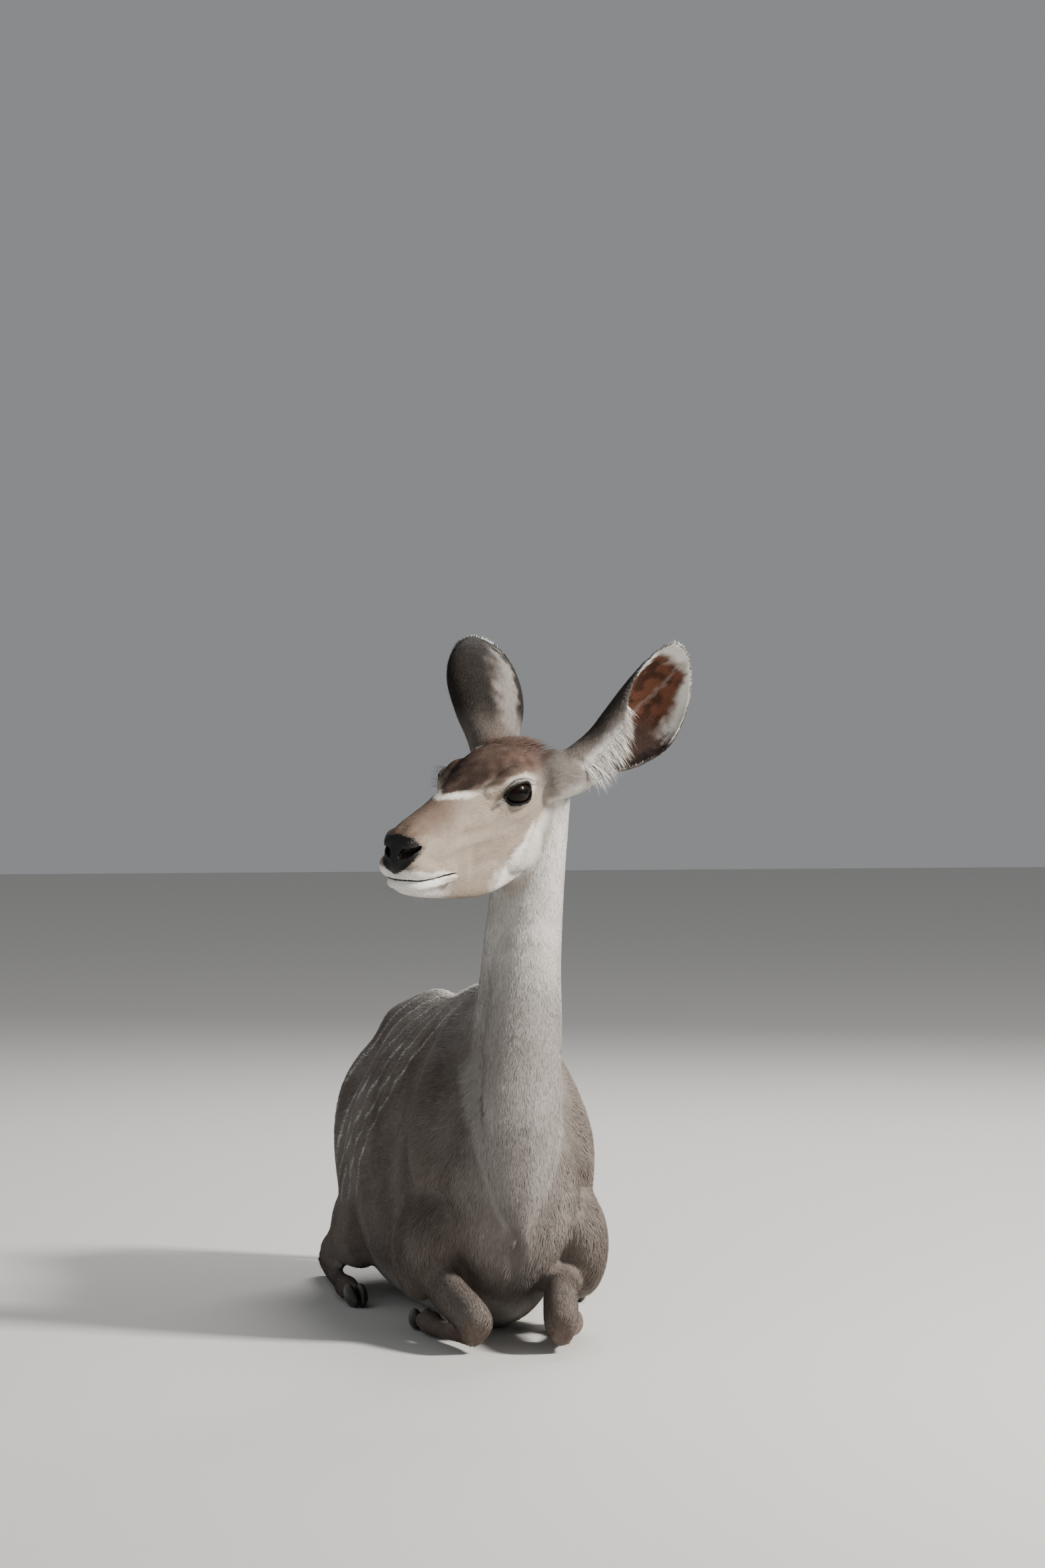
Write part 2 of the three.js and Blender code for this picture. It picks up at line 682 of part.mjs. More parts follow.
const kudu = new THREE.Group();
kudu.name = "greater_kudu_cow";
function node(name, solid, material) {
  const mesh = biggest(solid).getMesh();
  const geometry = new THREE.BufferGeometry();
  geometry.setAttribute("position", new THREE.BufferAttribute(new Float32Array(mesh.vertProperties), 3));
  geometry.setIndex(new THREE.BufferAttribute(new Uint32Array(mesh.triVerts), 1));
  geometry.computeVertexNormals();
  const made = new THREE.Mesh(geometry, material);
  made.name = name;
  kudu.add(made);
  return made;
}

const torsoRoom = torsoWhole(GAP * 1.3);
const headRoom = joined(skull(GAP * 1.3), earBurr("left", GAP * 1.3), earBurr("right", GAP * 1.3));
const neckRoom = neckWhole(GAP * 1.3);
node("torso", joined(torsoWhole(0), ...spineCrest()).subtract(UNDER_FLOOR), TAN);
node("neck", joined(neckWhole(), ...mane()).subtract(joined(torsoRoom, headRoom)), GREY);
node("head", joined(headWhole(), ...FOREHEAD_TUFT).subtract(headCuts), TAN);
node("eye_left", eyeball(1), wet);
node("eye_right", eyeball(-1), wet);
for (const [side, solid] of Object.entries(EARS))
  node("ear_" + side, solid.subtract(joined(headRoom, neckRoom)), TAN);
for (const [name, parts] of Object.entries(LEGS)) {
  node(name, parts.leg.subtract(joined(torsoRoom, UNDER_FLOOR)), TAN);
  for (const [i, solid] of parts.claws.entries()) {
    const hoof = name.replace("leg", "hoof") + (i ? "_inner" : "_outer");
    node(hoof, solid.subtract(joined(torsoRoom, UNDER_FLOOR)), horn);
  }
}
node("tail", tail().subtract(joined(torsoRoom, UNDER_FLOOR)), TAN);

export default kudu;
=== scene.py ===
# %% [markdown]
# # A greater kudu cow, lying down
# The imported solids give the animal's size, pose and place. This lesson dresses them: one smooth skin
# takes the place of the faceted flesh, a coat of small tufts lies over it, and the eyes, lids, nose,
# hooves, mane and lashes are pieces of their own. Lengths are written in millimetres, as a sculptor
# would measure them, and turned into metres only when a mesh is made.

# %% Load the frame
import math
import bpy
import numpy as np
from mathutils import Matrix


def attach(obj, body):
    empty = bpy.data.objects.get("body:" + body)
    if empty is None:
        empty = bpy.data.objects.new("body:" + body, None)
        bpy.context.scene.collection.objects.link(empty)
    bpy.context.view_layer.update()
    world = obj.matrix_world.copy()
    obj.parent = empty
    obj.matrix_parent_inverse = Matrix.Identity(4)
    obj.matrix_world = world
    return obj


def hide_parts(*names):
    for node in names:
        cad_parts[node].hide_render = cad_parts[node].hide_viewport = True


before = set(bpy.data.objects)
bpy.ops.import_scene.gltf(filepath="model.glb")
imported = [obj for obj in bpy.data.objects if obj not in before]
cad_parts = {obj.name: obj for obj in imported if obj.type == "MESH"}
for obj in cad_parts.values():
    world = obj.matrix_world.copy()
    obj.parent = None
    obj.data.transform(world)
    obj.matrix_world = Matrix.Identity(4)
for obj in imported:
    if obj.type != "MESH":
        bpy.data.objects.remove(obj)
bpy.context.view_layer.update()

MM = 0.001
RANDOM = np.random.default_rng(7)

# %% [markdown]
# ## The camera
# The photograph was taken with a long lens from about nine metres, a little above the animal's
# back. Its horizon lies near row 930 of 2352, which tips the camera down by less than two degrees.

# %% Set the camera
FOCAL_PIXELS = 8500
FRAME_HEIGHT = 2352
CAMERA_SPOT = (-1.3512, -8.9342, 1.117)
CAMERA_TURN = (math.radians(90 - 1.6577), 0, math.radians(-9))
camera_data = bpy.data.cameras.new("camera")
camera_data.sensor_width = 36
camera_data.lens = FOCAL_PIXELS / FRAME_HEIGHT * camera_data.sensor_width
camera_data.clip_end = 60
camera = bpy.data.objects.new("camera", camera_data)
camera.location = CAMERA_SPOT
camera.rotation_euler = CAMERA_TURN
bpy.context.scene.collection.objects.link(camera)
bpy.context.scene.camera = camera
print("lens in millimetres:", round(camera_data.lens, 1))

# %% [markdown]
# ## Curves through knots
# An animal's outline is easiest to state at a few stations and to let run smoothly between them.
# Two kinds of curve do that here: one gives a number along a line, such as the height of the back,
# and the other gives a place along a path, such as the middle of a leg.

# %% Two curves
def through(xs, ys):
    """A number along a line: cubic pieces between knots, each slope taken across its two neighbours."""
    xs, ys = np.asarray(xs, float), np.asarray(ys, float)
    index = np.arange(len(xs))
    before, after = np.maximum(index - 1, 0), np.minimum(index + 1, len(xs) - 1)
    slope = (ys[after] - ys[before]) / (xs[after] - xs[before])

    def curve(x):
        x = np.clip(x, xs[0], xs[-1])
        i = np.clip(np.searchsorted(xs, x) - 1, 0, len(xs) - 2)
        h = xs[i + 1] - xs[i]
        t = (x - xs[i]) / h
        start = (2 * t**3 - 3 * t**2 + 1) * ys[i] + (t**3 - 2 * t**2 + t) * h * slope[i]
        return start + (3 * t**2 - 2 * t**3) * ys[i + 1] + (t**3 - t**2) * h * slope[i + 1]

    return curve


def path_through(stops):
    """A place along a path: cubic pieces whose bends are eased by the root of each chord's length."""
    stops = np.asarray(stops, float)
    wide = np.vstack([2 * stops[0] - stops[1], stops, 2 * stops[-1] - stops[-2]])

    def place(t):
        s = np.clip(t, 0, 1) * (len(stops) - 1)
        i = np.minimum(s.astype(int), len(stops) - 2)
        w = (s - i)[:, None]
        p = [wide[i + k] for k in range(4)]
        d = [np.sqrt(np.linalg.norm(p[k + 1] - p[k], axis=1))[:, None] for k in range(3)]
        m1 = ((p[1] - p[0]) / d[0] - (p[2] - p[0]) / (d[0] + d[1]) + (p[2] - p[1]) / d[1]) * d[1]
        m2 = ((p[2] - p[1]) / d[1] - (p[3] - p[1]) / (d[1] + d[2]) + (p[3] - p[2]) / d[2]) * d[1]
        square = -3 * p[1] + 3 * p[2] - 2 * m1 - m2
        return p[1] + m1 * w + square * w**2 + (2 * p[1] - 2 * p[2] + m1 + m2) * w**3

    return place


def unit(v):
    """A vector, or each row of an array, brought to length one."""
    v = np.asarray(v, float)
    return v / np.maximum(np.linalg.norm(v, axis=-1, keepdims=True), 1e-9)


def dome(distance, reach):
    """The round end of a form: a quarter circle that rises from 0 to 1 over the reach."""
    t = np.clip(distance / reach, 0, 1)
    return np.sqrt(np.maximum(1 - (1 - t) ** 2, 0))


def signed_power(value, exponent):
    """A power that keeps the sign, for outlines between an ellipse and a box."""
    return np.sign(value) * np.abs(value) ** exponent


print("midway between 0 and 10:", float(through([0, 1, 2], [0, 5, 10])(np.array([1.0]))[0]))

# %% [markdown]
# ## Rings make a form
# A form is a stack of rings, each a closed outline of the same number of points. Joining each ring
# to the next with quads, and closing both ends with a fan, gives a closed shell that faces out.

# %% Lofts and limbs
def ring_corners(rows, around):
    """For each point of so many rings: its own number, and that of the next point round."""
    start = np.arange(rows)[:, None] * around
    return (start + np.arange(around)).ravel(), (start + (np.arange(around) + 1) % around).ravel()


def loft(rings):
    """Points and faces of a shell over rings, given as an array of rings by points by three."""
    count, around = rings.shape[:2]
    a, b = ring_corners(count - 1, around)
    quads = np.stack([a, b, b + around, a + around], 1)
    points = np.vstack([rings.reshape(-1, 3), rings[0].mean(0), rings[-1].mean(0)])
    rim = np.arange(around)
    ahead = (rim + 1) % around
    top = (count - 1) * around
    first = np.stack([ahead, rim, np.full(around, count * around)], 1)
    last = np.stack([top + rim, top + ahead, np.full(around, count * around + 1)], 1)
    middle = rings.mean((0, 1))
    outward = np.einsum("ij,ij->i", np.cross(points[b] - points[a], points[a + around] - points[a]),
                        points[a] - middle).sum()
    faces = [*quads.tolist(), *first.tolist(), *last.tolist()]
    return points, (faces if outward > 0 else [f[::-1] for f in faces])


def course(stops, side):
    """Along a limb at shares t: the place, its direction, the two directions across it, the half sizes.
    Each stop is x, y, z, half width along side, half depth."""
    stops, side = np.asarray(stops, float), np.asarray(side, float)
    path = path_through(stops[:, :3])
    share = np.linspace(0, 1, len(stops))
    wide, deep = through(share, stops[:, 3]), through(share, stops[:, 4])
    walk = path(np.linspace(0, 1, 200))
    length = np.linalg.norm(np.diff(walk, axis=0), axis=1).sum()

    def where(t):
        t = np.atleast_1d(t)
        along = unit(path(np.minimum(t + 1e-4, 1)) - path(np.maximum(t - 1e-4, 0)))
        across = unit(side - along * (along @ side)[:, None])
        return path(t), along, across, np.cross(along, across), wide(t), deep(t), length

    return where


def limb(stops, side, sections=30, around=28, grow=0.0):
    """A shell of ellipses carried along a course, round at both ends and grown by grow all over."""
    t = (1 - np.cos(np.linspace(0, math.pi, sections + 1))) / 2
    at, along, across, up, wide, deep, length = course(stops, side)(t)
    reach = 0.7 * np.minimum(wide, deep)
    size = dome(np.maximum(np.minimum(t, 1 - t) * length, reach * 0.03), reach)
    turn = np.linspace(0, 2 * math.pi, around, endpoint=False)
    x = (wide * size + grow)[:, None] * np.cos(turn)
    z = (deep * size + grow)[:, None] * np.sin(turn)
    return loft(at[:, None] + across[:, None] * x[..., None] + up[:, None] * z[..., None])


def globe(reach, rows, around):
    """A ball of radius one: circles of latitude, up to that share of half a turn from its waist."""
    lat = np.linspace(-reach, reach, rows)[:, None] * math.pi
    turn = np.linspace(0, 2 * math.pi, around, endpoint=False)[None]
    return np.stack([np.cos(lat) * np.cos(turn), np.cos(lat) * np.sin(turn), np.sin(lat) + 0 * turn], -1)


def ball(centre, radii, axes=np.eye(3), around=28):
    """A shell of an ellipsoid: a globe scaled along three axes."""
    shape = globe(0.49, around // 2 + 1, around)
    return loft(np.asarray(centre) + (shape * np.asarray(radii)) @ np.asarray(axes))


def make_mesh(name, shells):
    """One object from several shells in millimetres, with its place in its mesh in metres."""
    points, faces, start = [], [], 0
    for shell_points, shell_faces in shells:
        points.append(shell_points)
        faces += [[i + start for i in f] for f in shell_faces]
        start += len(shell_points)
    mesh = bpy.data.meshes.new(name)
    mesh.from_pydata(np.vstack(points) * MM, [], faces)
    made = bpy.data.objects.new(name, mesh)
    bpy.context.scene.collection.objects.link(made)
    return made


print("a test limb has", len(limb([[0, 0, 0, 5, 5], [0, 9, 0, 5, 5]], [1, 0, 0])[0]), "points")

# %% [markdown]
# ## The trunk
# A lying antelope's trunk is egg-shaped in section: a narrow roof of a back, the fullest part low,
# and flat where she lies on it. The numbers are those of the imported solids, drawn in by the depth
# of the coat, so the tips of the hair and not the skin reach the solids' surface.

# %% Trunk, shoulders and haunches
COAT = -3.5
TRUNK_ENDS = (-376, 742)
TRUNK_Y = [-376, -340, -290, -220, -140, -50, 60, 200, 340, 460, 560, 650, 742]
trunk_top = through(TRUNK_Y, [325, 357, 409, 477, 525, 539, 527, 507, 497, 499, 489, 449, 379])
trunk_half = through(TRUNK_Y, [78, 96, 110, 120, 130, 146, 166, 178, 180, 164, 144, 122, 94])
trunk_fullest = through(TRUNK_Y, [236, 238, 240, 242, 244, 244, 238, 228, 226, 244, 262, 276, 284])
trunk_foot = through(TRUNK_Y, [150, 100, 60, 26, 2, -8, -12, -14, -14, -8, 10, 72, 158])
trunk_roof = through(TRUNK_Y, [1.9, 1.9, 1.8, 1.7, 1.6, 1.55, 1.55, 1.6, 1.65, 1.75, 1.9, 2, 2])
trunk_keel = through(TRUNK_Y, [1.8, 1.8, 1.8, 1.9, 2, 2.1, 2.2, 2.3, 2.3, 2.2, 2.1, 2, 2])


def trunk(grow):
    """Rings across Y: half an oval above the fullest height and half a squarer one below it."""
    t = np.linspace(0, 1, 90)
    y = TRUNK_ENDS[0] + (TRUNK_ENDS[1] - TRUNK_ENDS[0]) * (0.55 * t + 0.225 * (1 - np.cos(math.pi * t)))
    turn = np.linspace(0, 2 * math.pi, 72, endpoint=False)[None]
    y = y[:, None]
    size = dome(y - TRUNK_ENDS[0] + 1, 62) * dome(TRUNK_ENDS[1] + 1 - y, 110)
    above = np.sin(turn) > 0
    exponent = 2 / np.where(above, trunk_roof(y), trunk_keel(y))
    rise = np.where(above, trunk_top(y) - trunk_fullest(y), trunk_fullest(y) - trunk_foot(y))
    middle = (trunk_top(y) + trunk_foot(y)) / 2
    x = trunk_half(y) * signed_power(np.cos(turn), exponent)
    z = trunk_fullest(y) + rise * signed_power(np.sin(turn), exponent)
    rings = np.stack([x * size + grow * np.cos(turn), y + 0 * turn,
                      middle + (z - middle) * size + grow * np.sin(turn)], -1)
    return loft(rings)


def shoulder(s, grow):
    """Shoulder blade down to the point of the shoulder, and the upper arm back to the elbow."""
    blade = [[s * 40, -30, 482, 22, 50], [s * 78, -112, 400, 38, 76],
             [s * 100, -200, 305, 46, 80], [s * 98, -268, 232, 40, 58]]
    arm = [[s * 96, -288, 222, 36, 58], [s * 116, -240, 164, 46, 84],
           [s * 126, -160, 130, 46, 84], [s * 118, -66, 120, 32, 60]]
    return [limb(blade, [s, 0, 0.3], grow=grow), limb(arm, [s, 0, 0], grow=grow)]


def haunch(s, grow):
    """Thigh from the hip to the stifle, and the calf behind it."""
    thigh = [[s * 60, 612, 370, 52, 96], [s * 90, 530, 306, 78, 132], [s * 120, 410, 230, 60, 122],
             [s * 142, 300, 164, 38, 82], [s * 146, 240, 132, 26, 52]]
    calf = [[s * 138, 300, 126, 34, 66], [s * 146, 400, 116, 40, 82],
            [s * 152, 500, 100, 32, 66], [s * 158, 575, 78, 22, 40]]
    return [limb(thigh, [s, 0, 0.25], grow=grow), limb(calf, [s, 0, 0], grow=grow)]


body_shells = [trunk(COAT)]
for s in (1, -1):
    body_shells += shoulder(s, COAT) + haunch(s, COAT)
print("shells so far:", len(body_shells))

# %% [markdown]
# ## Neck and legs
# The neck is an upright column, deeper than wide at its root, with the windpipe's round front
# coming straight down to the brisket. The forearms reach forward to knees that rest before the
# chest, and the cannons double back. The hind cannons lie forward along the floor.

# %% Neck, legs and tail
NECK_STOPS = [[4, -180, 282, 78, 186], [8, -190, 357, 75, 172], [14, -208, 429, 69, 142],
              [20, -232, 512, 65, 106], [25, -246, 612, 62, 84], [31, -254, 697, 59, 74],
              [36, -260, 769, 58, 70], [41, -264, 833, 57, 66], [46, -270, 880, 52, 54]]
NECK_SIDE = [1, 0.12, 0]
THROAT_STOPS = [[30, -278, 677, 48, 48], [22, -294, 527, 60, 57], [12, -320, 407, 66, 58],
                [5, -343, 310, 62, 52], [0, -357, 226, 46, 40], [-2, -358, 150, 20, 22]]
TAIL_STOPS = [[0, 690, 429, 17, 15], [4, 742, 384, 18, 15], [9, 762, 310, 18, 14],
              [14, 768, 215, 19, 14], [22, 762, 126, 21, 14], [32, 752, 58, 15, 11]]


def foreleg_stops(s, knee, fetlock):
    """The stops of a forearm and of the cannon that doubles back under it."""
    forearm = [[s * 118, -76, 138, 30, 42], [s * 110, -170, 118, 36, 46],
               [knee[0] + s * 24, -310, 82, 29, 36], [knee[0], knee[1], 50, 28, 32],
               [knee[0] - s * 2, knee[1] - 20, 38, 23, 26]]
    cannon = [[knee[0], knee[1] - 10, 34, 22, 24], [knee[0] + s * 8, knee[1] + 60, 24, 17, 17],
              [fetlock[0] - s * 6, fetlock[1] - 60, 20, 15, 16], [fetlock[0], fetlock[1], 21, 20, 21],
              [fetlock[0] + s * 2, fetlock[1] + 34, 19, 16, 16],
              [fetlock[0] + s * 3, fetlock[1] + 60, 18, 17, 15]]
    return forearm, cannon


def hindleg_stops(s, hock, fetlock):
    """The stops of a shank and of the cannon that comes forward along the floor."""
    shank = [[s * 150, 268, 106, 28, 48], [s * 158, 350, 96, 34, 52], [s * 162, 470, 76, 28, 40],
             [hock[0], hock[1] - 50, 54, 20, 28], [hock[0], hock[1], 40, 18, 30]]
    cannon = [[hock[0], hock[1] + 14, 36, 19, 30], [hock[0] + s * 5, hock[1] - 60, 24, 16, 21],
              [fetlock[0] - s * 3, fetlock[1] + 120, 19, 14, 17], [fetlock[0], fetlock[1], 21, 20, 21],
              [fetlock[0] - s * 3, fetlock[1] - 36, 20, 16, 16],
              [fetlock[0] - s * 4, fetlock[1] - 64, 19, 17, 15]]
    return shank, cannon


LEG_STOPS = {"foreleg_left": foreleg_stops(1, (52, -452), (108, -210)),
             "foreleg_right": foreleg_stops(-1, (-78, -440), (-114, -200)),
             "hindleg_left": hindleg_stops(1, (174, 622), (192, 300)),
             "hindleg_right": hindleg_stops(-1, (-170, 628), (-184, 278))}
SIDEWAYS = [1, 0, 0]
body_shells += [limb(NECK_STOPS, NECK_SIDE, 60, 48, COAT), limb(THROAT_STOPS, SIDEWAYS, grow=COAT)]
for pair in LEG_STOPS.values():
    body_shells += [limb(stops, SIDEWAYS, 40, 28, COAT * 0.5) for stops in pair]
body_shells.append(limb(TAIL_STOPS, SIDEWAYS, 40, 24, COAT * 0.5))
print("body shells:", len(body_shells))

# %% [markdown]
# ## The head's own frame
# The head is turned, dipped and tilted, so it is easiest to build it straight and to place it
# afterwards. In its own frame f runs along the muzzle, l to her left and u up from the face, with
# the origin midway between the eyes.

# %% Place the head
EYE_POINT = np.array([-57.0, -362, 856])
HEADING, HEAD_DIP, HEAD_ROLL = math.radians(45), math.radians(12), math.radians(-5.8)
ahead = np.array([-math.sin(HEADING) * math.cos(HEAD_DIP), -math.cos(HEADING) * math.cos(HEAD_DIP),
                  -math.sin(HEAD_DIP)])
level_left = unit(np.cross([0, 0, 1], ahead))
level_up = np.cross(ahead, level_left)
to_left = level_left * math.cos(HEAD_ROLL) + level_up * math.sin(HEAD_ROLL)
HEAD_AXES = np.array([ahead, to_left, np.cross(ahead, to_left)])


def on_head(flu):
    """From the head's frame to the model's."""
    return EYE_POINT + np.asarray(flu, float) @ HEAD_AXES


def head_way(flu):
    """A direction given in the head's frame, turned with the head."""
    return np.asarray(flu, float) @ HEAD_AXES


def in_head(points):
    """From the model's frame to the head's."""
    return (points - EYE_POINT) @ HEAD_AXES.T


def on_face(stops, sections=24, around=24, grow=0.0):
    """A limb whose stops are given in the head's frame."""
    stops = np.asarray(stops, float)
    placed = np.hstack([on_head(stops[:, :3]), stops[:, 3:]])
    return limb(placed, head_way([0, 0, 1]), sections, around, grow)


print("the muzzle points along", np.round(ahead, 2))

# %% [markdown]
# ## The skull, brows, lips and lids
# A kudu's head is a long wedge: broad between the eyes, narrow and deep in the muzzle. Over that
# wedge go the forms that make the face: brow ridges, cheekbones, the chewing muscle, the wings of
# the nostrils, both lips, the ball of each eye with its lids, and the gristly burr of each ear.

# %% Head shells
HEAD_F = [-150, -120, -80, -40, 0, 40, 80, 120, 160, 195, 218, 232]
face_top = through(HEAD_F, [10, 44, 60, 61, 52, 38, 25, 14, 5, -4, -16, -40])
jaw_line = through(HEAD_F, [-50, -102, -136, -152, -158, -158, -151, -141, -130, -118, -103, -82])
brow_half = through(HEAD_F, [36, 54, 65, 70, 69, 55, 44, 37, 33, 31, 26, 14])
cheek_half = through(HEAD_F, [38, 54, 60, 60, 56, 50, 44, 39, 37, 35, 29, 16])
jaw_half = through(HEAD_F, [24, 36, 42, 42, 40, 36, 32, 29, 28, 28, 23, 12])
crown_half = through(HEAD_F, [18, 28, 34, 36, 34, 28, 22, 18, 17, 17, 14, 8])
EYEBALL, EYE_OUT, LID = 24, 57, 4
HEAD_FLOOR = 600  # nothing of the head is lower than this
FACE_COAT = -1.5
SKULL_ENDS = (-152, 234)


def skull(grow):
    """Rings along the muzzle: a closed smooth curve through the chin, jaw, cheek, brow and crown."""
    t = np.linspace(0, 1, 70)
    rings = []
    back, front = SKULL_ENDS
    for f in back + 1 + (front - back - 2) * (0.6 * t + 0.2 * (1 - np.cos(math.pi * t))):
        top, low = face_top(f), jaw_line(f)
        size = dome(f - back, 24) * dome(front - f, 20)
        half = [(0, 0), (jaw_half(f) * 0.62, 0.02), (jaw_half(f), 0.17), (cheek_half(f), 0.48),
                (brow_half(f), 0.78), (crown_half(f), 0.965), (0, 1)]
        knots = np.array(half + [(-w, h) for w, h in half[-2:0:-1]])
        knots = np.vstack([knots[-3:], knots, knots[:4]])
        spots = path_through(np.c_[knots[:, 0], low + (top - low) * knots[:, 1], 0 * knots[:, 0]])
        outline = spots((3 + np.linspace(0, 12, 60, endpoint=False)) / (len(knots) - 1))[:, :2]
        middle = np.array([0, (top + low) / 2])
        outline = middle + (outline - middle) * size + grow * unit(outline - middle)
        rings.append(on_head(np.c_[np.full(60, f), outline]))
    return loft(np.array(rings))


def eye_centre(s):
    """The middle of an eyeball."""
    return on_head([-6, s * EYE_OUT, 3])


MOUTH = np.array([[128, 41, -93], [152, 38.5, -90], [182, 35, -89], [210, 25, -87], [224, 8, -84]])


def above_mouth(f, u):
    """How far above the mouth's line a height u lies, at f along the muzzle."""
    return u - np.interp(f, MOUTH[:, 0], MOUTH[:, 2])


def mouth_band(lift, tall, deep):
    """A thin band that follows the mouth from corner to corner, lifted above or below its line."""
    side = MOUTH + [0, 0, lift]
    way = np.vstack([side, side[::-1] * [1, -1, 1]])
    return on_face(np.c_[way, np.full(10, tall), np.full(10, deep)], 60, 12)


def nostril(s):
    """The comma of a nostril, to be cut out."""
    return on_face([[227, s * 7, -50, 3, 5], [221, s * 14, -43, 8, 10], [211, s * 22, -38, 8, 8.5],
                    [200, s * 30, -35, 3, 4]], 20, 20)


def ear_burr(s):
    """The gristly root that each ear stands on."""
    stops = ([[-44, 40, 6, 18, 24], [-84, 42, 6, 33, 41], [-110, 60, 6, 41, 46],
              [-130, 82, 10, 36, 40], [-147, 101, 23, 27, 30]] if s > 0 else
             [[-46, -40, 6, 18, 22], [-88, -40, 10, 30, 36], [-104, -46, 14, 33, 34],
              [-110, -60, 24, 29, 28]])
    return on_face(stops, 20, 28, COAT * 0.5)


def half_face(s):
    """The forms on one side of the head."""
    return [
        ball(eye_centre(s), [EYEBALL + LID] * 3, around=36),
        on_face([[221, s * 10, -37, 11, 11], [211, s * 17, -31, 13, 12], [196, s * 23, -27, 12, 11],
                 [180, s * 26, -26, 7, 7]]),
        on_face([[222, s * 2, -66, 7, 9], [213, s * 20, -68, 17.5, 16.5], [192, s * 33, -74, 13.5, 12.5],
                 [162, s * 38, -83, 4, 7]]),
        on_face([[-44, s * 46, 20, 15, 17], [-10, s * 50, 23, 17, 18], [22, s * 45, 15, 14, 16],
                 [50, s * 35, 6, 9, 11]]),
        on_face([[-78, s * 54, -14, 10, 8], [-30, s * 57, -30, 12, 8], [20, s * 50, -36, 12, 8],
                 [60, s * 42, -42, 8, 6]]),
        ball(on_head([-40, s * 36, -88]), [54, 22, 46], HEAD_AXES),
        ear_burr(s),
    ]


head_shells = [skull(FACE_COAT), *half_face(1), *half_face(-1), mouth_band(8, 8, 4.5),
               mouth_band(-8, 7, 4)]
print("head shells:", len(head_shells))

# %% [markdown]
# ## From shells to one skin
# The shells overlap, and a real body has no seams where the shoulder lies on the ribs. A voxel
# remesh fuses them, and then each point is moved again and again towards the middle of its
# neighbours, which fills the creases. The body is fused coarsely and relaxed a lot. The head is
# joined on afterwards and relaxed only a little, so its small forms stay.

# %% Fuse and relax
def apply_modifier(obj, kind, **settings):
    """Adds a modifier, sets it, and replaces the object's mesh by the result."""
    modifier = obj.modifiers.new(kind.lower(), kind)
    for key, value in settings.items():
        setattr(modifier, key, value)
    graph = bpy.context.evaluated_depsgraph_get()
    graph.update()
    mesh = bpy.data.meshes.new_from_object(obj.evaluated_get(graph))
    obj.modifiers.clear()
    obj.data = mesh
    return obj


def points_of(mesh):
    """A mesh's points as an array in millimetres."""
    flat = np.empty(len(mesh.vertices) * 3, np.float32)
    mesh.vertices.foreach_get("co", flat)
    return flat.reshape(-1, 3).astype(float) / MM


def edges_of(mesh):
    """A mesh's edges as pairs of point numbers."""
    flat = np.empty(len(mesh.edges) * 2, np.int32)
    mesh.edges.foreach_get("vertices", flat)
    return flat.reshape(-1, 2)


def neighbour_mean(values, edges):
    """For each point, the mean of a value over the points it shares an edge with."""
    n = len(values)
    both = np.concatenate([edges, edges[:, ::-1]])
    count = np.maximum(np.bincount(both[:, 0], minlength=n), 1)
    sums = [np.bincount(both[:, 0], values[both[:, 1], k], n) for k in range(values.shape[1])]
    return np.stack(sums, 1) / count[:, None]


def relax(obj, strength, rounds):
    """Moves each point part of the way to its neighbours' mean, then most of that way back, so that
    creases fill while the form keeps its girth."""
    points, edges = points_of(obj.data), edges_of(obj.data)
    amount = np.asarray(strength(points), float)
    edges = edges[(amount[edges] > 0).any(1)]
    used, local = np.unique(edges, return_inverse=True)
    local, some, amount = local.reshape(-1, 2), points[used], amount[used, None]
    for _ in range(rounds):
        some = some + amount * 0.6 * (neighbour_mean(some, local) - some)
        some = some - amount * 0.4 * (neighbour_mean(some, local) - some)
    points[used] = some
    obj.data.vertices.foreach_set("co", (points * MM).astype(np.float32).ravel())
    obj.data.update()


def smooth_step(x, low, high):
    """0 below low, 1 above high, and a smooth rise between."""
    t = np.clip((x - low) / (high - low), 0, 1)
    return t * t * (3 - 2 * t)


def limbs_mask(points):
    """How strongly the body is relaxed: fully on the trunk and neck, hardly at all on thin legs."""
    low = smooth_step(points[:, 2], 60, 150)
    front = smooth_step(points[:, 1], -330, -420) * smooth_step(points[:, 2], 130, 90)
    tail = smooth_step(points[:, 1], 735, 760)
    return np.clip(0.12 + 0.88 * low - front, 0.1, 1) * (1 - 0.85 * tail)


def temple_mask(points):
    """The roots of the ears, the temples and the top of the nape, where no edge may show."""
    f, l, u = in_head(points).T
    side = smooth_step(np.abs(l), 26, 44)
    return smooth_step(-f, 26, 52) * smooth_step(u, -70, -40) * smooth_step(u, 110, 60) * side


BODY_VOXEL, HEAD_VOXEL = 6, 2.6
skin = make_mesh("skin", body_shells)
apply_modifier(skin, "REMESH", mode="VOXEL", voxel_size=BODY_VOXEL * MM)
relax(skin, limbs_mask, 26)
body = points_of(skin.data), [list(p.vertices) for p in skin.data.polygons]
bpy.data.objects.remove(skin)
skin = make_mesh("skin", [body, *head_shells])
apply_modifier(skin, "REMESH", mode="VOXEL", voxel_size=HEAD_VOXEL * MM)
relax(skin, lambda points: np.ones(len(points)), 3)
relax(skin, temple_mask, 45)
print("fine skin:", len(skin.data.polygons), "faces")

# %% [markdown]
# ## Relief under the coat
# A lying animal's muscles show as broad, shallow forms: the hollow of the flank, the point of the
# hip, a dip behind the shoulder and soft ribs. Most are bell-shaped mounds or hollows, the throat's
# two grooves follow a line and the ribs are a slow wave. All are pushed along the surface's own
# direction, which is quicker and softer than another shell.

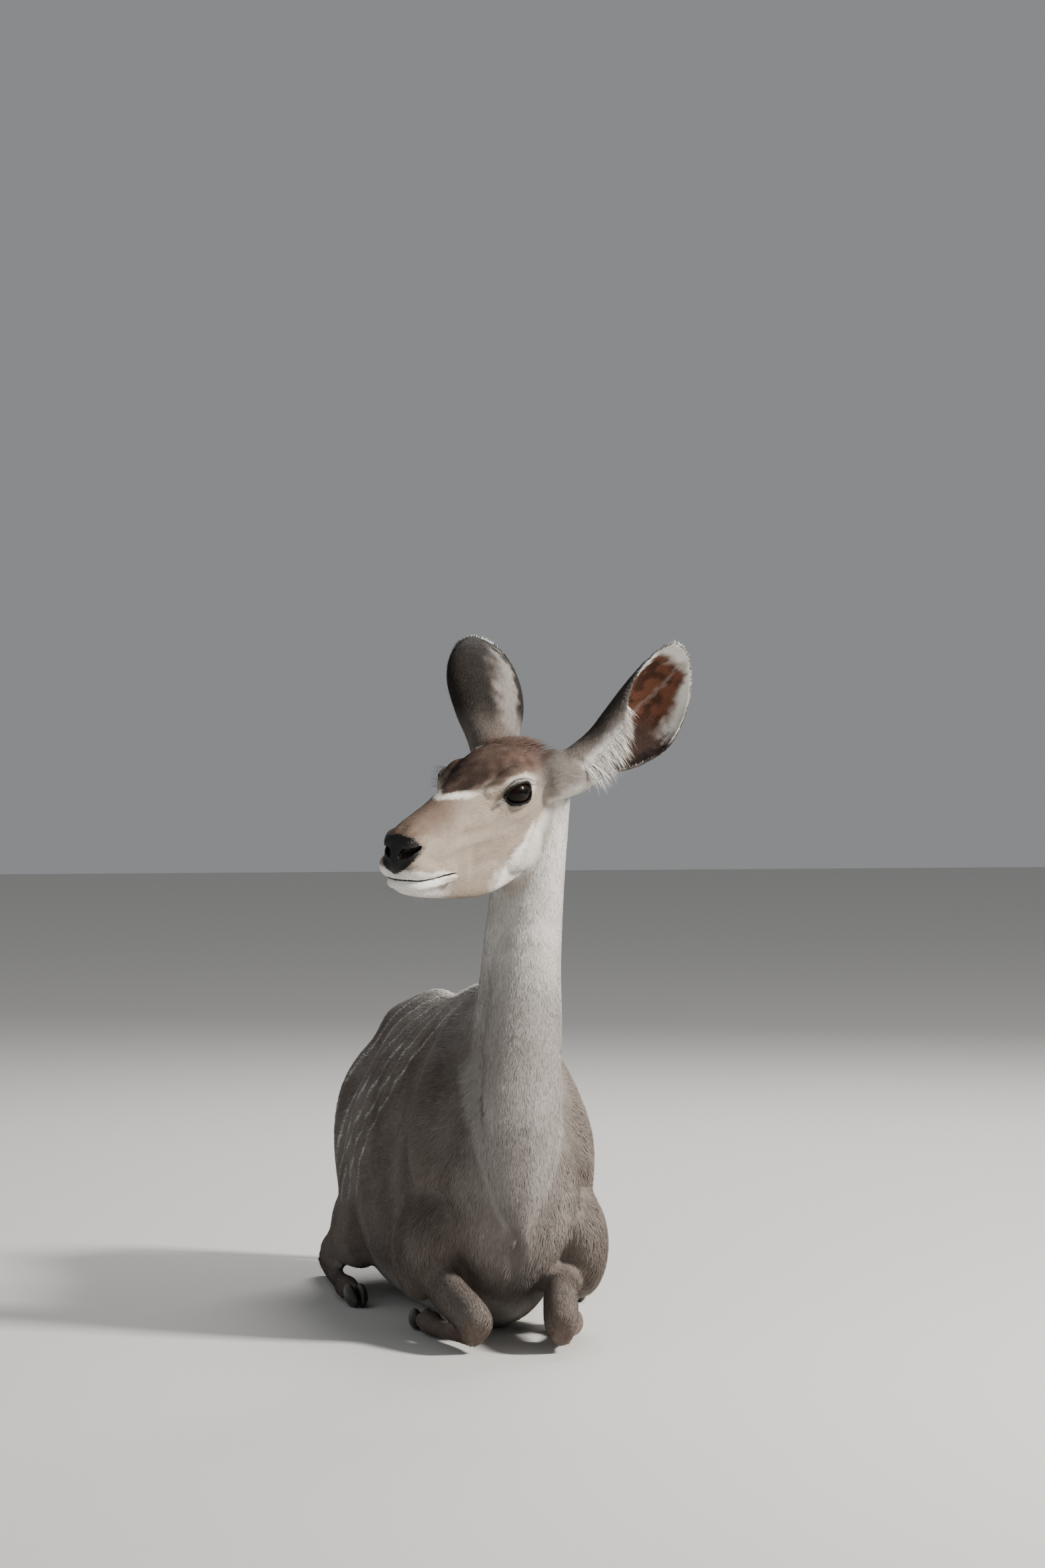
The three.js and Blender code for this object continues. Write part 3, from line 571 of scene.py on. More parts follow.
# %% Mounds and hollows
BODY_RELIEF = [  # x, y, z, three reaches, height
    [150, 462, 405, 80, 52, 62, -12], [92, 552, 468, 34, 40, 30, 11], [156, -6, 330, 60, 26, 120, -5],
    [62, 330, 488, 26, 150, 26, -5], [100, 634, 440, 50, 40, 44, -6], [74, 706, 392, 30, 34, 50, 5],
    [130, 560, 210, 60, 22, 90, -5], [128, -250, 300, 50, 30, 70, -4],
    [0, -40, 535, 36, 70, 34, 4], [-2, -372, 118, 12, 60, 44, -7], [96, -292, 330, 30, 34, 60, -4],
    [126, 640, 330, 50, 60, 26, 3], [150, 430, 262, 60, 18, 60, -3], [120, -330, 250, 40, 40, 16, -3],
]
THROAT_GROOVE = [[92, -250, 520], [86, -290, 440], [80, -322, 360], [66, -352, 285], [42, -372, 215],
                 [6, -380, 160]]
GROOVE_DEPTH, GROOVE_REACH = 9, 17
RIB_HEIGHT, RIB_SPACING = 1.1, 7.6
SKIN_OVER_FLOOR, HAIR_OVER_FLOOR = 2, 0.5
HEAD_RELIEF = [  # f, l, u, three reaches, height
    [-66, 66, 26, 30, 22, 15, 3], [40, 54, -8, 20, 16, 11, -3.5], [-6, 70, 32, 24, 18, 6, -1.6],
    [96, 40, -28, 40, 16, 8, 1.6], [150, 36, -56, 34, 16, 12, 1.5], [60, 48, -96, 52, 20, 9, -2],
    [205, 0, -14, 12, 7, 12, -1.6], [-6, 70, -26, 26, 18, 5, -1.4],
    [74, 46, -56, 48, 14, 7, 2.2], [84, 42, -40, 40, 14, 8, -2], [86, 42, -84, 8, 14, 24, -2],
    [30, 58, -64, 26, 16, 16, 2], [120, 34, -68, 22, 14, 8, -1.4],
]


def normals_of(mesh):
    """A mesh's point normals as an array."""
    flat = np.empty(len(mesh.vertices) * 3, np.float32)
    mesh.vertex_normals.foreach_get("vector", flat)
    return flat.reshape(-1, 3).astype(float)


def from_line(points, knots):
    """Distance from a broken line: the least distance to any of its straight pieces."""
    knots = np.asarray(knots, float)
    best = np.full(len(points), np.inf)
    for a, b in zip(knots[:-1], knots[1:]):
        t = np.clip((points - a) @ (b - a) / ((b - a) @ (b - a)), 0, 1)
        best = np.minimum(best, np.linalg.norm(points - a - t[:, None] * (b - a), axis=1))
    return best


def relief(points, mounds):
    """The sum of bell-shaped mounds. Those off the middle are mirrored to the other side."""
    height = np.zeros(len(points))
    across = 0 if mounds is BODY_RELIEF else 1
    for *place, a, b, c, tall in mounds:
        for s in (1, -1) if place[across] > 12 else (1,):
            spot = np.array(place, float)
            spot[across] *= s
            height += tall * np.exp(-(((points - spot) / [a, b, c]) ** 2).sum(1))
    return height


throat_middle = through([150, 226, 310, 407, 527, 677], [-2, 0, 5, 12, 22, 30])
column_half = through([150, 215, 285, 360, 440, 520, 600], [4, 40, 64, 78, 84, 88, 96])
skin_points = points_of(skin.data)
lift = relief(skin_points, BODY_RELIEF) + relief(in_head(skin_points), HEAD_RELIEF)
off_middle = skin_points - np.stack([throat_middle(skin_points[:, 2])] + [0 * skin_points[:, 2]] * 2, 1)
for s in (1, -1):
    groove = from_line(off_middle, np.array(THROAT_GROOVE) * [s, 1, 1])
    lift -= GROOVE_DEPTH * np.exp(-((groove / GROOVE_REACH) ** 2))
on_ribs = (smooth_step(skin_points[:, 1], -50, 60) * smooth_step(skin_points[:, 1], 430, 330)
           * smooth_step(skin_points[:, 2], 150, 240) * smooth_step(skin_points[:, 2], 480, 420))
lift += RIB_HEIGHT * on_ribs * np.sin((skin_points[:, 1] - 0.3 * skin_points[:, 2]) / RIB_SPACING)
skin_points += normals_of(skin.data) * lift[:, None]
skin_points[:, 2] = np.maximum(skin_points[:, 2], SKIN_OVER_FLOOR)
skin.data.vertices.foreach_set("co", (skin_points * MM).astype(np.float32).ravel())
print("deepest hollow:", round(float(lift.min()), 1), "highest mound:", round(float(lift.max()), 1))

# %% [markdown]
# ## Thin out the body, keep the face
# The skin is thinned to about 140,000 triangles. A single piece stays under 200,000 triangles. The
# face needs them most, so a vertex group tells the Decimate modifier to take its triangles from
# the body.

# %% Decimate by region
SKIN_TRIANGLES = 140000


def thin_out(obj, target):
    """Weights each point by its distance from the head, and collapses edges where the weight is high."""
    points = points_of(obj.data)
    away = smooth_step(np.linalg.norm(in_head(points) - [40, 0, -30], axis=1), 210, 300)
    group = obj.vertex_groups.new(name="thin")
    levels = np.round(away * 8).astype(int)
    for level in range(9):
        group.add(np.flatnonzero(levels == level).tolist(), level / 8, "REPLACE")
    triangles = sum(len(p.vertices) - 2 for p in obj.data.polygons)
    apply_modifier(obj, "DECIMATE", ratio=target / triangles, vertex_group="thin", vertex_group_factor=6)
    obj.vertex_groups.clear()


thin_out(skin, SKIN_TRIANGLES)
print("skin polygons:", len(skin.data.polygons))

# %% [markdown]
# ## The ears
# A kudu's ear is a big cupped leaf: rolled nearly shut at the root, wide and open above, and
# pointed at the tip. Across it the wall is part of an oval, wide by its half width and deep by its
# cup, swept through an angle that gets smaller towards the tip. Both faces of the wall are made
# at once, so the leaf is a closed solid that can be welded to the burr.

# %% Loft the ears and weld them on
EAR_LENGTH, EAR_HALF_WIDTH, EAR_DEPTH = 254, 66, 28
EAR_SHARE = [0, 0.1, 0.25, 0.42, 0.58, 0.74, 0.87, 0.95, 1]
ear_half = through(EAR_SHARE, [0.62, 0.68, 0.88, 1.08, 1.08, 0.93, 0.7, 0.48, 0.2])
ear_cup = through(EAR_SHARE, [30, 30, 31, 31, 28, 21, 13, 8, 3])
wrap_back = through(EAR_SHARE, [160, 150, 122, 100, 90, 84, 76, 70, 66])
wrap_front = through(EAR_SHARE, [172, 170, 160, 140, 114, 94, 80, 71, 66])
ear_bow = through(EAR_SHARE, [0, 2, 6, 9, 8, 4, -3, -9, -13])
ear_belly = through(EAR_SHARE, [-0.5, -0.1, 0.7, 1.15, 1.15, 0.9, 0.55, 0.28, 0])


def ear_axes(root, long, opening, sway, s):
    """An ear's own frame: its root, the ways along it, across it and out of its cup."""
    along = unit(long)
    faces = unit(np.array(opening) - along * (along @ np.array(opening)))
    return {"root": on_head(root), "along": along, "faces": faces, "across": np.cross(along, faces),
            "sway": sway, "s": s}


def ear_turn(ear, t, share):
    """The angle round the cup at a share from -1 to 1 of its width; the front edge rolls in further."""
    return np.radians(np.where(share * ear["s"] < 0, wrap_front(t), wrap_back(t))) * share


def ear_spot(ear, t, turn, inset):
    """Places on an ear: share t of its length, turned by an angle round its cup, inset by some depth."""
    out = ear["sway"] * ear_belly(t) + (EAR_HALF_WIDTH * ear_half(t) - inset) * np.sin(turn)
    back = -ear_bow(t) - (ear_cup(t) - inset) * np.cos(turn)
    return (ear["root"] + ear["along"] * (t * EAR_LENGTH)[..., None]
            + ear["across"] * out[..., None] + ear["faces"] * back[..., None])


def ear_leaf(ear):
    """The outer and the inner face of the wall on one grid, joined round all four edges."""
    rows, columns = 72, 48
    t = np.linspace(0, 1, rows)[:, None] + np.zeros((1, columns))
    turn = ear_turn(ear, t, np.linspace(-1, 1, columns)[None])
    wall = np.minimum(3.2, ear_cup(t) * 0.45)
    points = np.vstack([ear_spot(ear, t, turn, 0.6).reshape(-1, 3),
                        ear_spot(ear, t, turn, 0.6 + wall).reshape(-1, 3)])
    a = (np.arange(rows - 1)[:, None] * columns + np.arange(columns - 1)).ravel()
    outer = np.stack([a + columns, a + columns + 1, a + 1, a], 1)
    shift = rows * columns
    border = np.concatenate([np.arange(columns), np.arange(1, rows) * columns + columns - 1,
                             (rows - 1) * columns + np.arange(columns - 2, -1, -1),
                             np.arange(rows - 2, 0, -1) * columns])
    ahead = np.roll(border, -1)
    rim = np.stack([ahead + shift, border + shift, border, ahead], 1)
    return points, [*outer.tolist(), *(outer[:, ::-1] + shift).tolist(), *rim.tolist()]


def boolean(obj, shell, operation):
    """Joins a closed shell to an object or cuts it out, and keeps the object's place."""
    tool = make_mesh("tool", [shell])
    apply_modifier(obj, "BOOLEAN", object=tool, operation=operation, solver="MANIFOLD")
    bpy.data.objects.remove(tool)


EARS = {
    "ear_left": ear_axes([-140, 86, -2], [0.55, -0.17, 0.81], [0.4, -0.85, -0.36], 40, 1),
    "ear_right": ear_axes([-110, -60, 18], [0.11, 0.68, 0.74], [-0.5, 0.78, -0.4], 16, -1),
}


def ear_root_mask(points):
    """The collar where each ear leaves its burr; a little smoothing melts the crease there."""
    mask = np.zeros(len(points))
    for ear in EARS.values():
        d = points - ear["root"]
        t = d @ ear["along"]
        off = np.linalg.norm(d - t[:, None] * ear["along"], axis=1)
        mask = np.maximum(mask, smooth_step(t, -36, -14) * smooth_step(t, 66, 34) * (off < 75))
    return mask


for ear in EARS.values():
    boolean(skin, ear_leaf(ear), "UNION")
relax(skin, ear_root_mask, 40)
print("with ears:", len(skin.data.polygons))

# %% [markdown]
# ## Eye sockets, lids, nostrils and mouth
# The eyeball needs a socket a hair wider than itself, and the lids are what is left of the ball of
# flesh in front of it once an almond is cut out. The nostrils are commas, the mouth a thin slit.
# Cutting them last gives these edges a crispness that a voxel mesh can't.

# %% Cut the face
SOCKET_GAP = 0.5
ALMOND_LONG, ALMOND_ABOVE, ALMOND_BELOW = 25.5, 16, 14  # half its length, heights from its middle


def almond_axes(s):
    """The almond's own frame: out of the eye, along the lids and up."""
    out = unit(head_way([0.34, s, 0.1]))
    along = head_way([1, 0, -0.06])
    along = unit(along - out * (out @ along))
    up = head_way([0, 0, 1])
    up = up - out * (out @ up)
    return out, along, unit(up - along * (along @ up))


def almond_rim(s, far, grow=0.0):
    """A lens-shaped outline round the eye: flatter below than above, pointed at both corners."""
    out, along, up = almond_axes(s)
    turn = np.linspace(0, 2 * math.pi, 64, endpoint=False)
    tall = np.where(np.sin(turn) > 0, ALMOND_ABOVE, ALMOND_BELOW) + grow
    a = (ALMOND_LONG + grow) * np.cos(turn)
    b = tall * signed_power(np.sin(turn), 1.3) - 1
    return eye_centre(s) + out * far + a[:, None] * along + b[:, None] * up


for s in (1, -1):
    boolean(skin, ball(eye_centre(s), [EYEBALL + SOCKET_GAP] * 3, around=72), "DIFFERENCE")
    boolean(skin, loft(np.array([almond_rim(s, 6), almond_rim(s, 60)])), "DIFFERENCE")
    boolean(skin, nostril(s), "DIFFERENCE")
boolean(skin, mouth_band(0, 0.9, 15), "DIFFERENCE")
face_edges = np.empty(len(skin.data.loops), np.int32)
skin.data.loops.foreach_get("edge_index", face_edges)
print("edges without two faces:", int((np.bincount(face_edges) != 2).sum()))

# %% [markdown]
# ## Where each spot belongs
# Fur, colour and length all depend on the part of the body, so each point of the skin gets a share
# of seven parts: head, neck, trunk, legs, tail and the two ears. Most shares come from how near the
# point is to a part's own middle line, measured in that part's thickness. Those of the head and the
# ears come from their own frames. All of them blend softly.

# %% Shares of the parts
PARTS = ["head", "neck", "trunk", "legs", "tail", "ear_left", "ear_right"]


def nearest_on(stops, side, points, count=60):
    """For each point: its distance to the course in units of its thickness, and the direction there."""
    t = np.linspace(0, 1, count)
    at, along, across, up, wide, deep, _ = course(stops, side)(t)
    best, way = np.full(len(points), np.inf), np.zeros((len(points), 3))
    for k in range(count):
        d = points - at[k]
        flat = np.sqrt(((d @ across[k]) / wide[k]) ** 2 + ((d @ up[k]) / deep[k]) ** 2
                       + (d @ along[k] / max(wide[k], 12)) ** 2)
        nearer = flat < best
        best[nearer], way[nearer] = flat[nearer], along[k]
    return best, way


def on_ear(ear, points):
    """Share of the ear's length, place across it from -1 to 1, and how far out from its middle."""
    d = points - ear["root"]
    t = d @ ear["along"] / EAR_LENGTH
    w = (d @ ear["across"] - ear["sway"] * ear_belly(t)) / (EAR_HALF_WIDTH * ear_half(t))
    back = -(d @ ear["faces"] + ear_bow(t)) / ear_cup(t)
    return t, w, np.sqrt(w**2 + back**2), back


def shares_and_lie(points):
    """The parts' shares and the way the hair lies, both from the nearest middle lines."""
    f, l, u = in_head(points).T
    x, y, z = points.T
    shares, ways = np.zeros((len(points), len(PARTS))), np.zeros((len(PARTS), len(points), 3))
    cheek = np.clip(np.abs(l) / 60, 0, 1)
    head_part = smooth_step(f + 0.5 * u, -132, -98) * (z > 640)
    shares[:, 0] = head_part * 8
    ways[0] = head_way(np.stack([-np.ones_like(f), 0.3 * np.sign(l) * cheek,
                                 np.where(u > 20, 0.15, -0.3 * cheek)], 1))
    r1, way1 = nearest_on(NECK_STOPS, NECK_SIDE, points)
    r2, way2 = nearest_on(THROAT_STOPS, SIDEWAYS, points, 30)
    shares[:, 1] = (1 - head_part) * np.exp(-7 * np.maximum(np.minimum(r1, r2) - 1, 0)) * 1.2
    down = np.where((r1 < r2)[:, None], -way1, way2)
    ways[1] = down * np.where(down[:, 2:] > 0, -1, 1)
    middle = (trunk_top(y) + trunk_foot(y)) / 2
    tall = (trunk_top(y) - trunk_foot(y)) / 2
    before = np.maximum(TRUNK_ENDS[0] - y, 0) ** 2 / 900
    r3 = np.sqrt((x / trunk_half(y)) ** 2 + ((z - middle) / tall) ** 2 + before)
    shares[:, 2] = np.exp(-5 * np.maximum(r3 - 1.15, 0)) * 0.6 * (z < 660)
    front = smooth_step(y, -200, -330)
    ways[2] = np.stack([0.3 * np.sign(x) * front, 1.15 - 1.1 * front, -0.4 - 0.8 * front], 1)
    legs = [nearest_on(stops, SIDEWAYS, points, 40) for pair in LEG_STOPS.values() for stops in pair]
    ratios = np.array([leg[0] for leg in legs])
    first = ratios.argmin(0)
    shares[:, 3] = np.exp(-7 * np.maximum(ratios.min(0) - 1.1, 0)) * 1.5 * (z < 200)
    ways[3] = np.array([leg[1] for leg in legs])[first, np.arange(len(points))]
    r4, ways[4] = nearest_on(TAIL_STOPS, SIDEWAYS, points, 40)
    shares[:, 4] = np.exp(-7 * np.maximum(r4 - 1.1, 0)) * 2 * (y > 700)
    for k, ear in enumerate(EARS.values()):
        t, _, r, _ = on_ear(ear, points)
        inside = smooth_step(t, 0.04, 0.12) * (r < 1.7) * (t < 1.05)
        shares[:, 5 + k] = inside * 40
        ways[5 + k] = ear["along"]
    shares /= np.maximum(shares.sum(1, keepdims=True), 1e-6)
    lie = np.einsum("nk,knc->nc", shares, ways)
    return shares, unit(lie)


skin_points, skin_edges = points_of(skin.data), edges_of(skin.data)
skin_shares, skin_lie = shares_and_lie(skin_points)
for _ in range(8):
    skin_lie = neighbour_mean(skin_lie, skin_edges)
skin_lie = unit(skin_lie)
main_part = np.bincount(skin_shares.argmax(1), minlength=len(PARTS))
print("points mostly on", {p: int(n) for p, n in zip(PARTS, main_part)})

# %% [markdown]
# ## The markings
# A kudu cow is grey to tawny with thin white lines down the flanks, a white chevron between the
# eyes, white lips and chin, a pale streak behind the cheek and large ears with white-haired rims.
# Each marking is a distance in millimetres from a line or an outline, softened with a little
# noise, so skin and tufts can ask for the same value at any point.

# %% Work out the markings
MASKS = ["grey", "tan", "rufous", "dark", "white"]
STRIPES = [  # y at height 400, lean back per millimetre down, lowest height
    [54, 0.74, 160], [150, 0.62, 140], [238, 0.5, 130], [322, 0.4, 130],
    [404, 0.3, 150], [486, 0.18, 190], [566, 0.05, 260],
]
CHEVRON = [[112, 0, 15], [108, 6, 15], [77, 27, 14], [47, 49, 17]]
BROW_LINE = [[96, 0, 21], [87, 5, 21], [55, 29, 23], [22, 58, 27]]
TEAR_LINE = [[20, 62, -3], [34, 53.5, -8], [46, 50, -12]]
NOSE_PAD = [[-77, -72, -64, -54, -44, -28, -20, -15], [-4, 9, 21, 29, 32, 32, 26, -4]]  # u, half width
CHEEK_STREAK = [[-53, 55, -58], [-48, 55, -64], [-11, 54, -96], [7, 34, -146]]
CHIN_SHADE = [[136, 26, -114], [98, 32, -124]]


def grain(points, size, seed):
    """Smooth noise from -1 to 1: random numbers on a lattice, blended between its eight corners."""
    p = points / size + seed * 17.31
    cell = np.floor(p).astype(np.int64)
    w = p - cell
    w = w * w * (3 - 2 * w)
    total = np.zeros(len(points))
    for i in (0, 1):
        for j in (0, 1):
            for k in (0, 1):
                c = cell + [i, j, k]
                h = (c[:, 0] * 73856093) ^ (c[:, 1] * 19349663) ^ (c[:, 2] * 83492791)
                h = (h * 2654435761) % 65536 / 32768 - 1
                total += (h * np.where(i, w[:, 0], 1 - w[:, 0]) * np.where(j, w[:, 1], 1 - w[:, 1])
                          * np.where(k, w[:, 2], 1 - w[:, 2]))
    return total


def from_eye(points, s):
    """How far out a point lies in the almond's own measure: 1 on the rim of the lids."""
    out, along, up = almond_axes(s)
    d = points - eye_centre(s)
    a, b = d @ along, d @ up + 1
    tall = np.where(b > 0, ALMOND_ABOVE, ALMOND_BELOW)
    return np.sqrt((a / ALMOND_LONG) ** 2 + (b / tall) ** 2) + (d @ out < 0) * 9


class Spots:
    """The points to be marked: their places in both frames, their shares of the parts, how far they
    are from the eyes and from the mouth, and noise of three sizes."""

    def __init__(self, points, normals, shares):
        self.points, self.normals, self.shares = points, normals, shares
        self.x, self.y, self.z = points.T
        self.f, self.l, self.u = in_head(points).T
        self.side = np.stack([self.f, np.abs(self.l), self.u], 1)
        self.head, self.neck, self.trunk, self.legs, self.tail = shares[:, :5].T
        self.fine, self.small = grain(points, 5, 1), grain(points, 12, 3)
        self.broad = grain(points, 60, 2)
        self.blur = 2.2 * self.fine + 1.5 * self.small
        self.eyes = np.minimum(from_eye(points, 1), from_eye(points, -1))
        self.over = above_mouth(self.f, self.u)


def lay(masks, colour, amount):
    """Lays a marking into a mask, which keeps the greater of its old and its new amount."""
    masks[colour] = np.maximum(masks[colour], amount)


def throat_column(spots):
    """1 on the pale column that runs down the front of the neck, and 0 beside it."""
    z = spots.z
    column = smooth_step(column_half(z) - np.abs(spots.x - throat_middle(z)), -7, 9)
    column *= smooth_step(-spots.y, 150, 250)
    column *= (z < 560) * smooth_step(z, 140, 200)
    return column


def ground_colour(masks, spots, column):
    """Grey on the neck, tan on the face, brown on shoulder and flank."""
    y, z, head = spots.y, spots.z, spots.head
    masks["tan"] = head * (0.68 + 0.12 * spots.broad + 0.16 * spots.small)
    grey = (0.6 * head + spots.neck * (0.45 + 0.5 * smooth_step(z, 400, 620)) + spots.legs * 0.16
            + spots.tail * 0.25)
    grey += spots.trunk * (0.2 + 0.3 * smooth_step(y, -300, -370) + 0.34 * smooth_step(z, 450, 520)
                           + 0.1 * smooth_step(y, 40, 300))
    grey = np.maximum(grey, column * 0.78)
    masks["grey"] = np.clip(grey + 0.1 * spots.broad + 0.08 * spots.fine, 0, 1)


def flank_marks(masks, spots, column):
    """Stripes, thin, soft and broken, and pale flecks on the back."""
    z, fine, small, trunk = spots.z, spots.fine, spots.small, spots.trunk
    drift = 8 * grain(spots.points, 90, 4)
    for place, lean, lowest in STRIPES:
        wander = 8 * np.sin(z / 70 + place) + drift
        line = 3.2 - 1.6 * fine - np.abs(spots.y - place - lean * (400 - z) - wander)
        line = smooth_step(line, -4.5, 3) * smooth_step(z, lowest, lowest + 60) * smooth_step(z, 512, 480)
        lay(masks, "white", (0.4 + 0.3 * small) * line * trunk * (1 - column))
    flecks = smooth_step(fine + 0.6 * small, 0.5, 0.9) * smooth_step(z, 455, 505)
    lay(masks, "white", 0.35 * trunk * flecks)


def forehead_marks(masks, spots):
    """Brown forehead, temples darkened with painted shade under the ears, dark brow, and a pale arc over
    the eye.
    """
    f, l, u, head, small, blur = spots.f, spots.l, spots.u, spots.head, spots.small, spots.blur
    brow_height = np.interp(f, [-130, -66, -26, 18, 53, 88], [8, 14, 31, 27, 21, 15])
    crown = smooth_step(u - brow_height + 0.8 * blur, -4, 5)
    crown *= smooth_step(106 - 1.3 * np.abs(l) - f, -4, 6)
    arc = smooth_step(1.85 + 0.06 * blur - spots.eyes, 0, 0.25) * (u > 0)
    crown *= (1 - arc) * smooth_step(70 - np.abs(l) + 0.12 * (f + 60), -8, 12)
    # The temples darken under the ears: painted shade.
    temple_shadow = smooth_step(-f, 36, 70) * smooth_step(u, -40, 0)
    masks["tan"] *= 1 - 0.75 * temple_shadow
    lay(masks, "dark", 0.46 * head * temple_shadow * smooth_step(u + 0.3 * f, -36, 0))
    lay(masks, "rufous", head * crown * (0.66 + 0.12 * small))
    near_brow = smooth_step(np.abs(u - brow_height) + 0.3 * np.abs(f - 40), 46, 6)
    lay(masks, "dark", head * crown * (0.5 + 0.16 * small + 0.3 * near_brow
                                       - 0.34 * smooth_step(-f, 50, 100)))
    brow = smooth_step(6 + blur - from_line(spots.side, BROW_LINE), -5, 4)
    lay(masks, "dark", 0.7 * head * brow * (1 - arc))
    lay(masks, "white", 0.3 * head * arc * smooth_step(-f, -30, 0))
    shaded = smooth_step(1.9 - spots.eyes, -0.1, 0.5) * smooth_step(f, 6, 26) * (u < 30)
    lay(masks, "dark", 0.42 * head * shaded)


def pale_marks(masks, spots):
    """Chevron, cheek streak, the pale cheek behind it, lips, chin, jaw and throat."""
    f, u, z, head, blur, over = spots.f, spots.u, spots.z, spots.head, spots.blur, spots.over
    band = 2.6 + 3.6 * smooth_step(f, 44, 92) + 0.8 * blur - from_line(spots.side, CHEVRON)
    lay(masks, "white", (0.42 + 0.3 * smooth_step(f, 50, 84)) * head * smooth_step(band, -3.6, 3.4))
    streak = 2.5 + blur + 9 * smooth_step(-u, 56, 118) - from_line(spots.side, CHEEK_STREAK)
    lay(masks, "white", 0.85 * head * smooth_step(streak, -6, 5))
    behind = np.interp(u, [-146, -96, -64, -30], [7, -11, -48, -80]) - f + 2 * blur
    lay(masks, "white", 0.52 * head * smooth_step(behind, -4, 16) * smooth_step(-u, 14, 64))
    lip = np.minimum(2 + 0.16 * (f - 128) + 0.8 * blur - over, np.minimum(over + 5, 0.3 * (f - 130)))
    chin = np.minimum(0.12 * (f - 150 - 0.5 * (over + 20) - blur * 3), -over - 1)
    lay(masks, "white", head * 0.95 * smooth_step(np.maximum(lip, chin), -3, 4))
    jaw = np.minimum(-118 - u + 3 * blur, 24 - f + 4 * blur)
    lay(masks, "white", 0.6 * head * smooth_step(jaw, -18, 22))
    throat = spots.neck * (0.16 + 0.36 * smooth_step(z, 480, 700)) * (0.8 + 0.2 * spots.small)
    lay(masks, "white", throat * smooth_step(z, 420, 620))


def eye_marks(masks, spots):
    """A pale line under each eye, its dark rim, and the dark tear mark before it."""
    head, blur, eyes = spots.head, spots.blur, spots.eyes
    under = 0.16 * smooth_step(1.7 + 0.08 * blur - eyes, 0, 0.3) * (spots.u < -2)
    lay(masks, "white", head * under)
    lay(masks, "dark", head * smooth_step(1.25 + 0.03 * blur - eyes, 0, 0.13))
    masks["white"] *= smooth_step(eyes, 1.12, 1.26)
    tear = smooth_step(2.6 + 0.5 * blur - from_line(spots.side, TEAR_LINE), -3, 2.5)
    lay(masks, "dark", 0.75 * head * tear)


def muzzle_marks(masks, spots):
    """The dark slit of the mouth, a shade on the chin, the bare nose pad and the nose's bridge."""
    f, l, u, head, over = spots.f, spots.l, spots.u, spots.head, spots.over
    slit = np.minimum(1.5 + 0.15 * spots.blur - np.abs(over), (f - 119) * 0.5) * (spots.z > HEAD_FLOOR)
    slit = head * smooth_step(slit, -0.8, 0.8)
    lay(masks, "dark", slit)
    masks["white"] *= 1 - slit
    chin_shade = smooth_step(13 + 2 * spots.blur - from_line(spots.side, CHIN_SHADE), -9, 9)
    lay(masks, "dark", 0.1 * head * chin_shade * (over < -4))
    pad = np.interp(u, *NOSE_PAD) - np.abs(l)
    masks["bare"] = head * smooth_step(pad + 0.6 * spots.fine, -1.2, 1.2) * (f > 192)
    lay(masks, "dark", masks["bare"])
    masks["white"] *= 1 - masks["bare"]
    bridge = smooth_step(30 - np.abs(l), -14, 10) * smooth_step(f, 74, 130) * smooth_step(u, -38, -18)
    lay(masks, "rufous", head * 0.5 * bridge)
    lay(masks, "dark", head * (0.28 + 0.1 * spots.small) * bridge)


def nape_marks(masks, spots):
    """Behind the poll: dark where the surface faces up, pale where it faces down."""
    facing = (spots.normals @ HEAD_AXES[2]) * smooth_step(-spots.f, 66, 100) * (spots.u > -60)
    lay(masks, "white", 0.5 * spots.head * smooth_step(-facing, 0.05, 0.6))
    lay(masks, "dark", 0.5 * spots.head * smooth_step(facing, 0.1, 0.7))


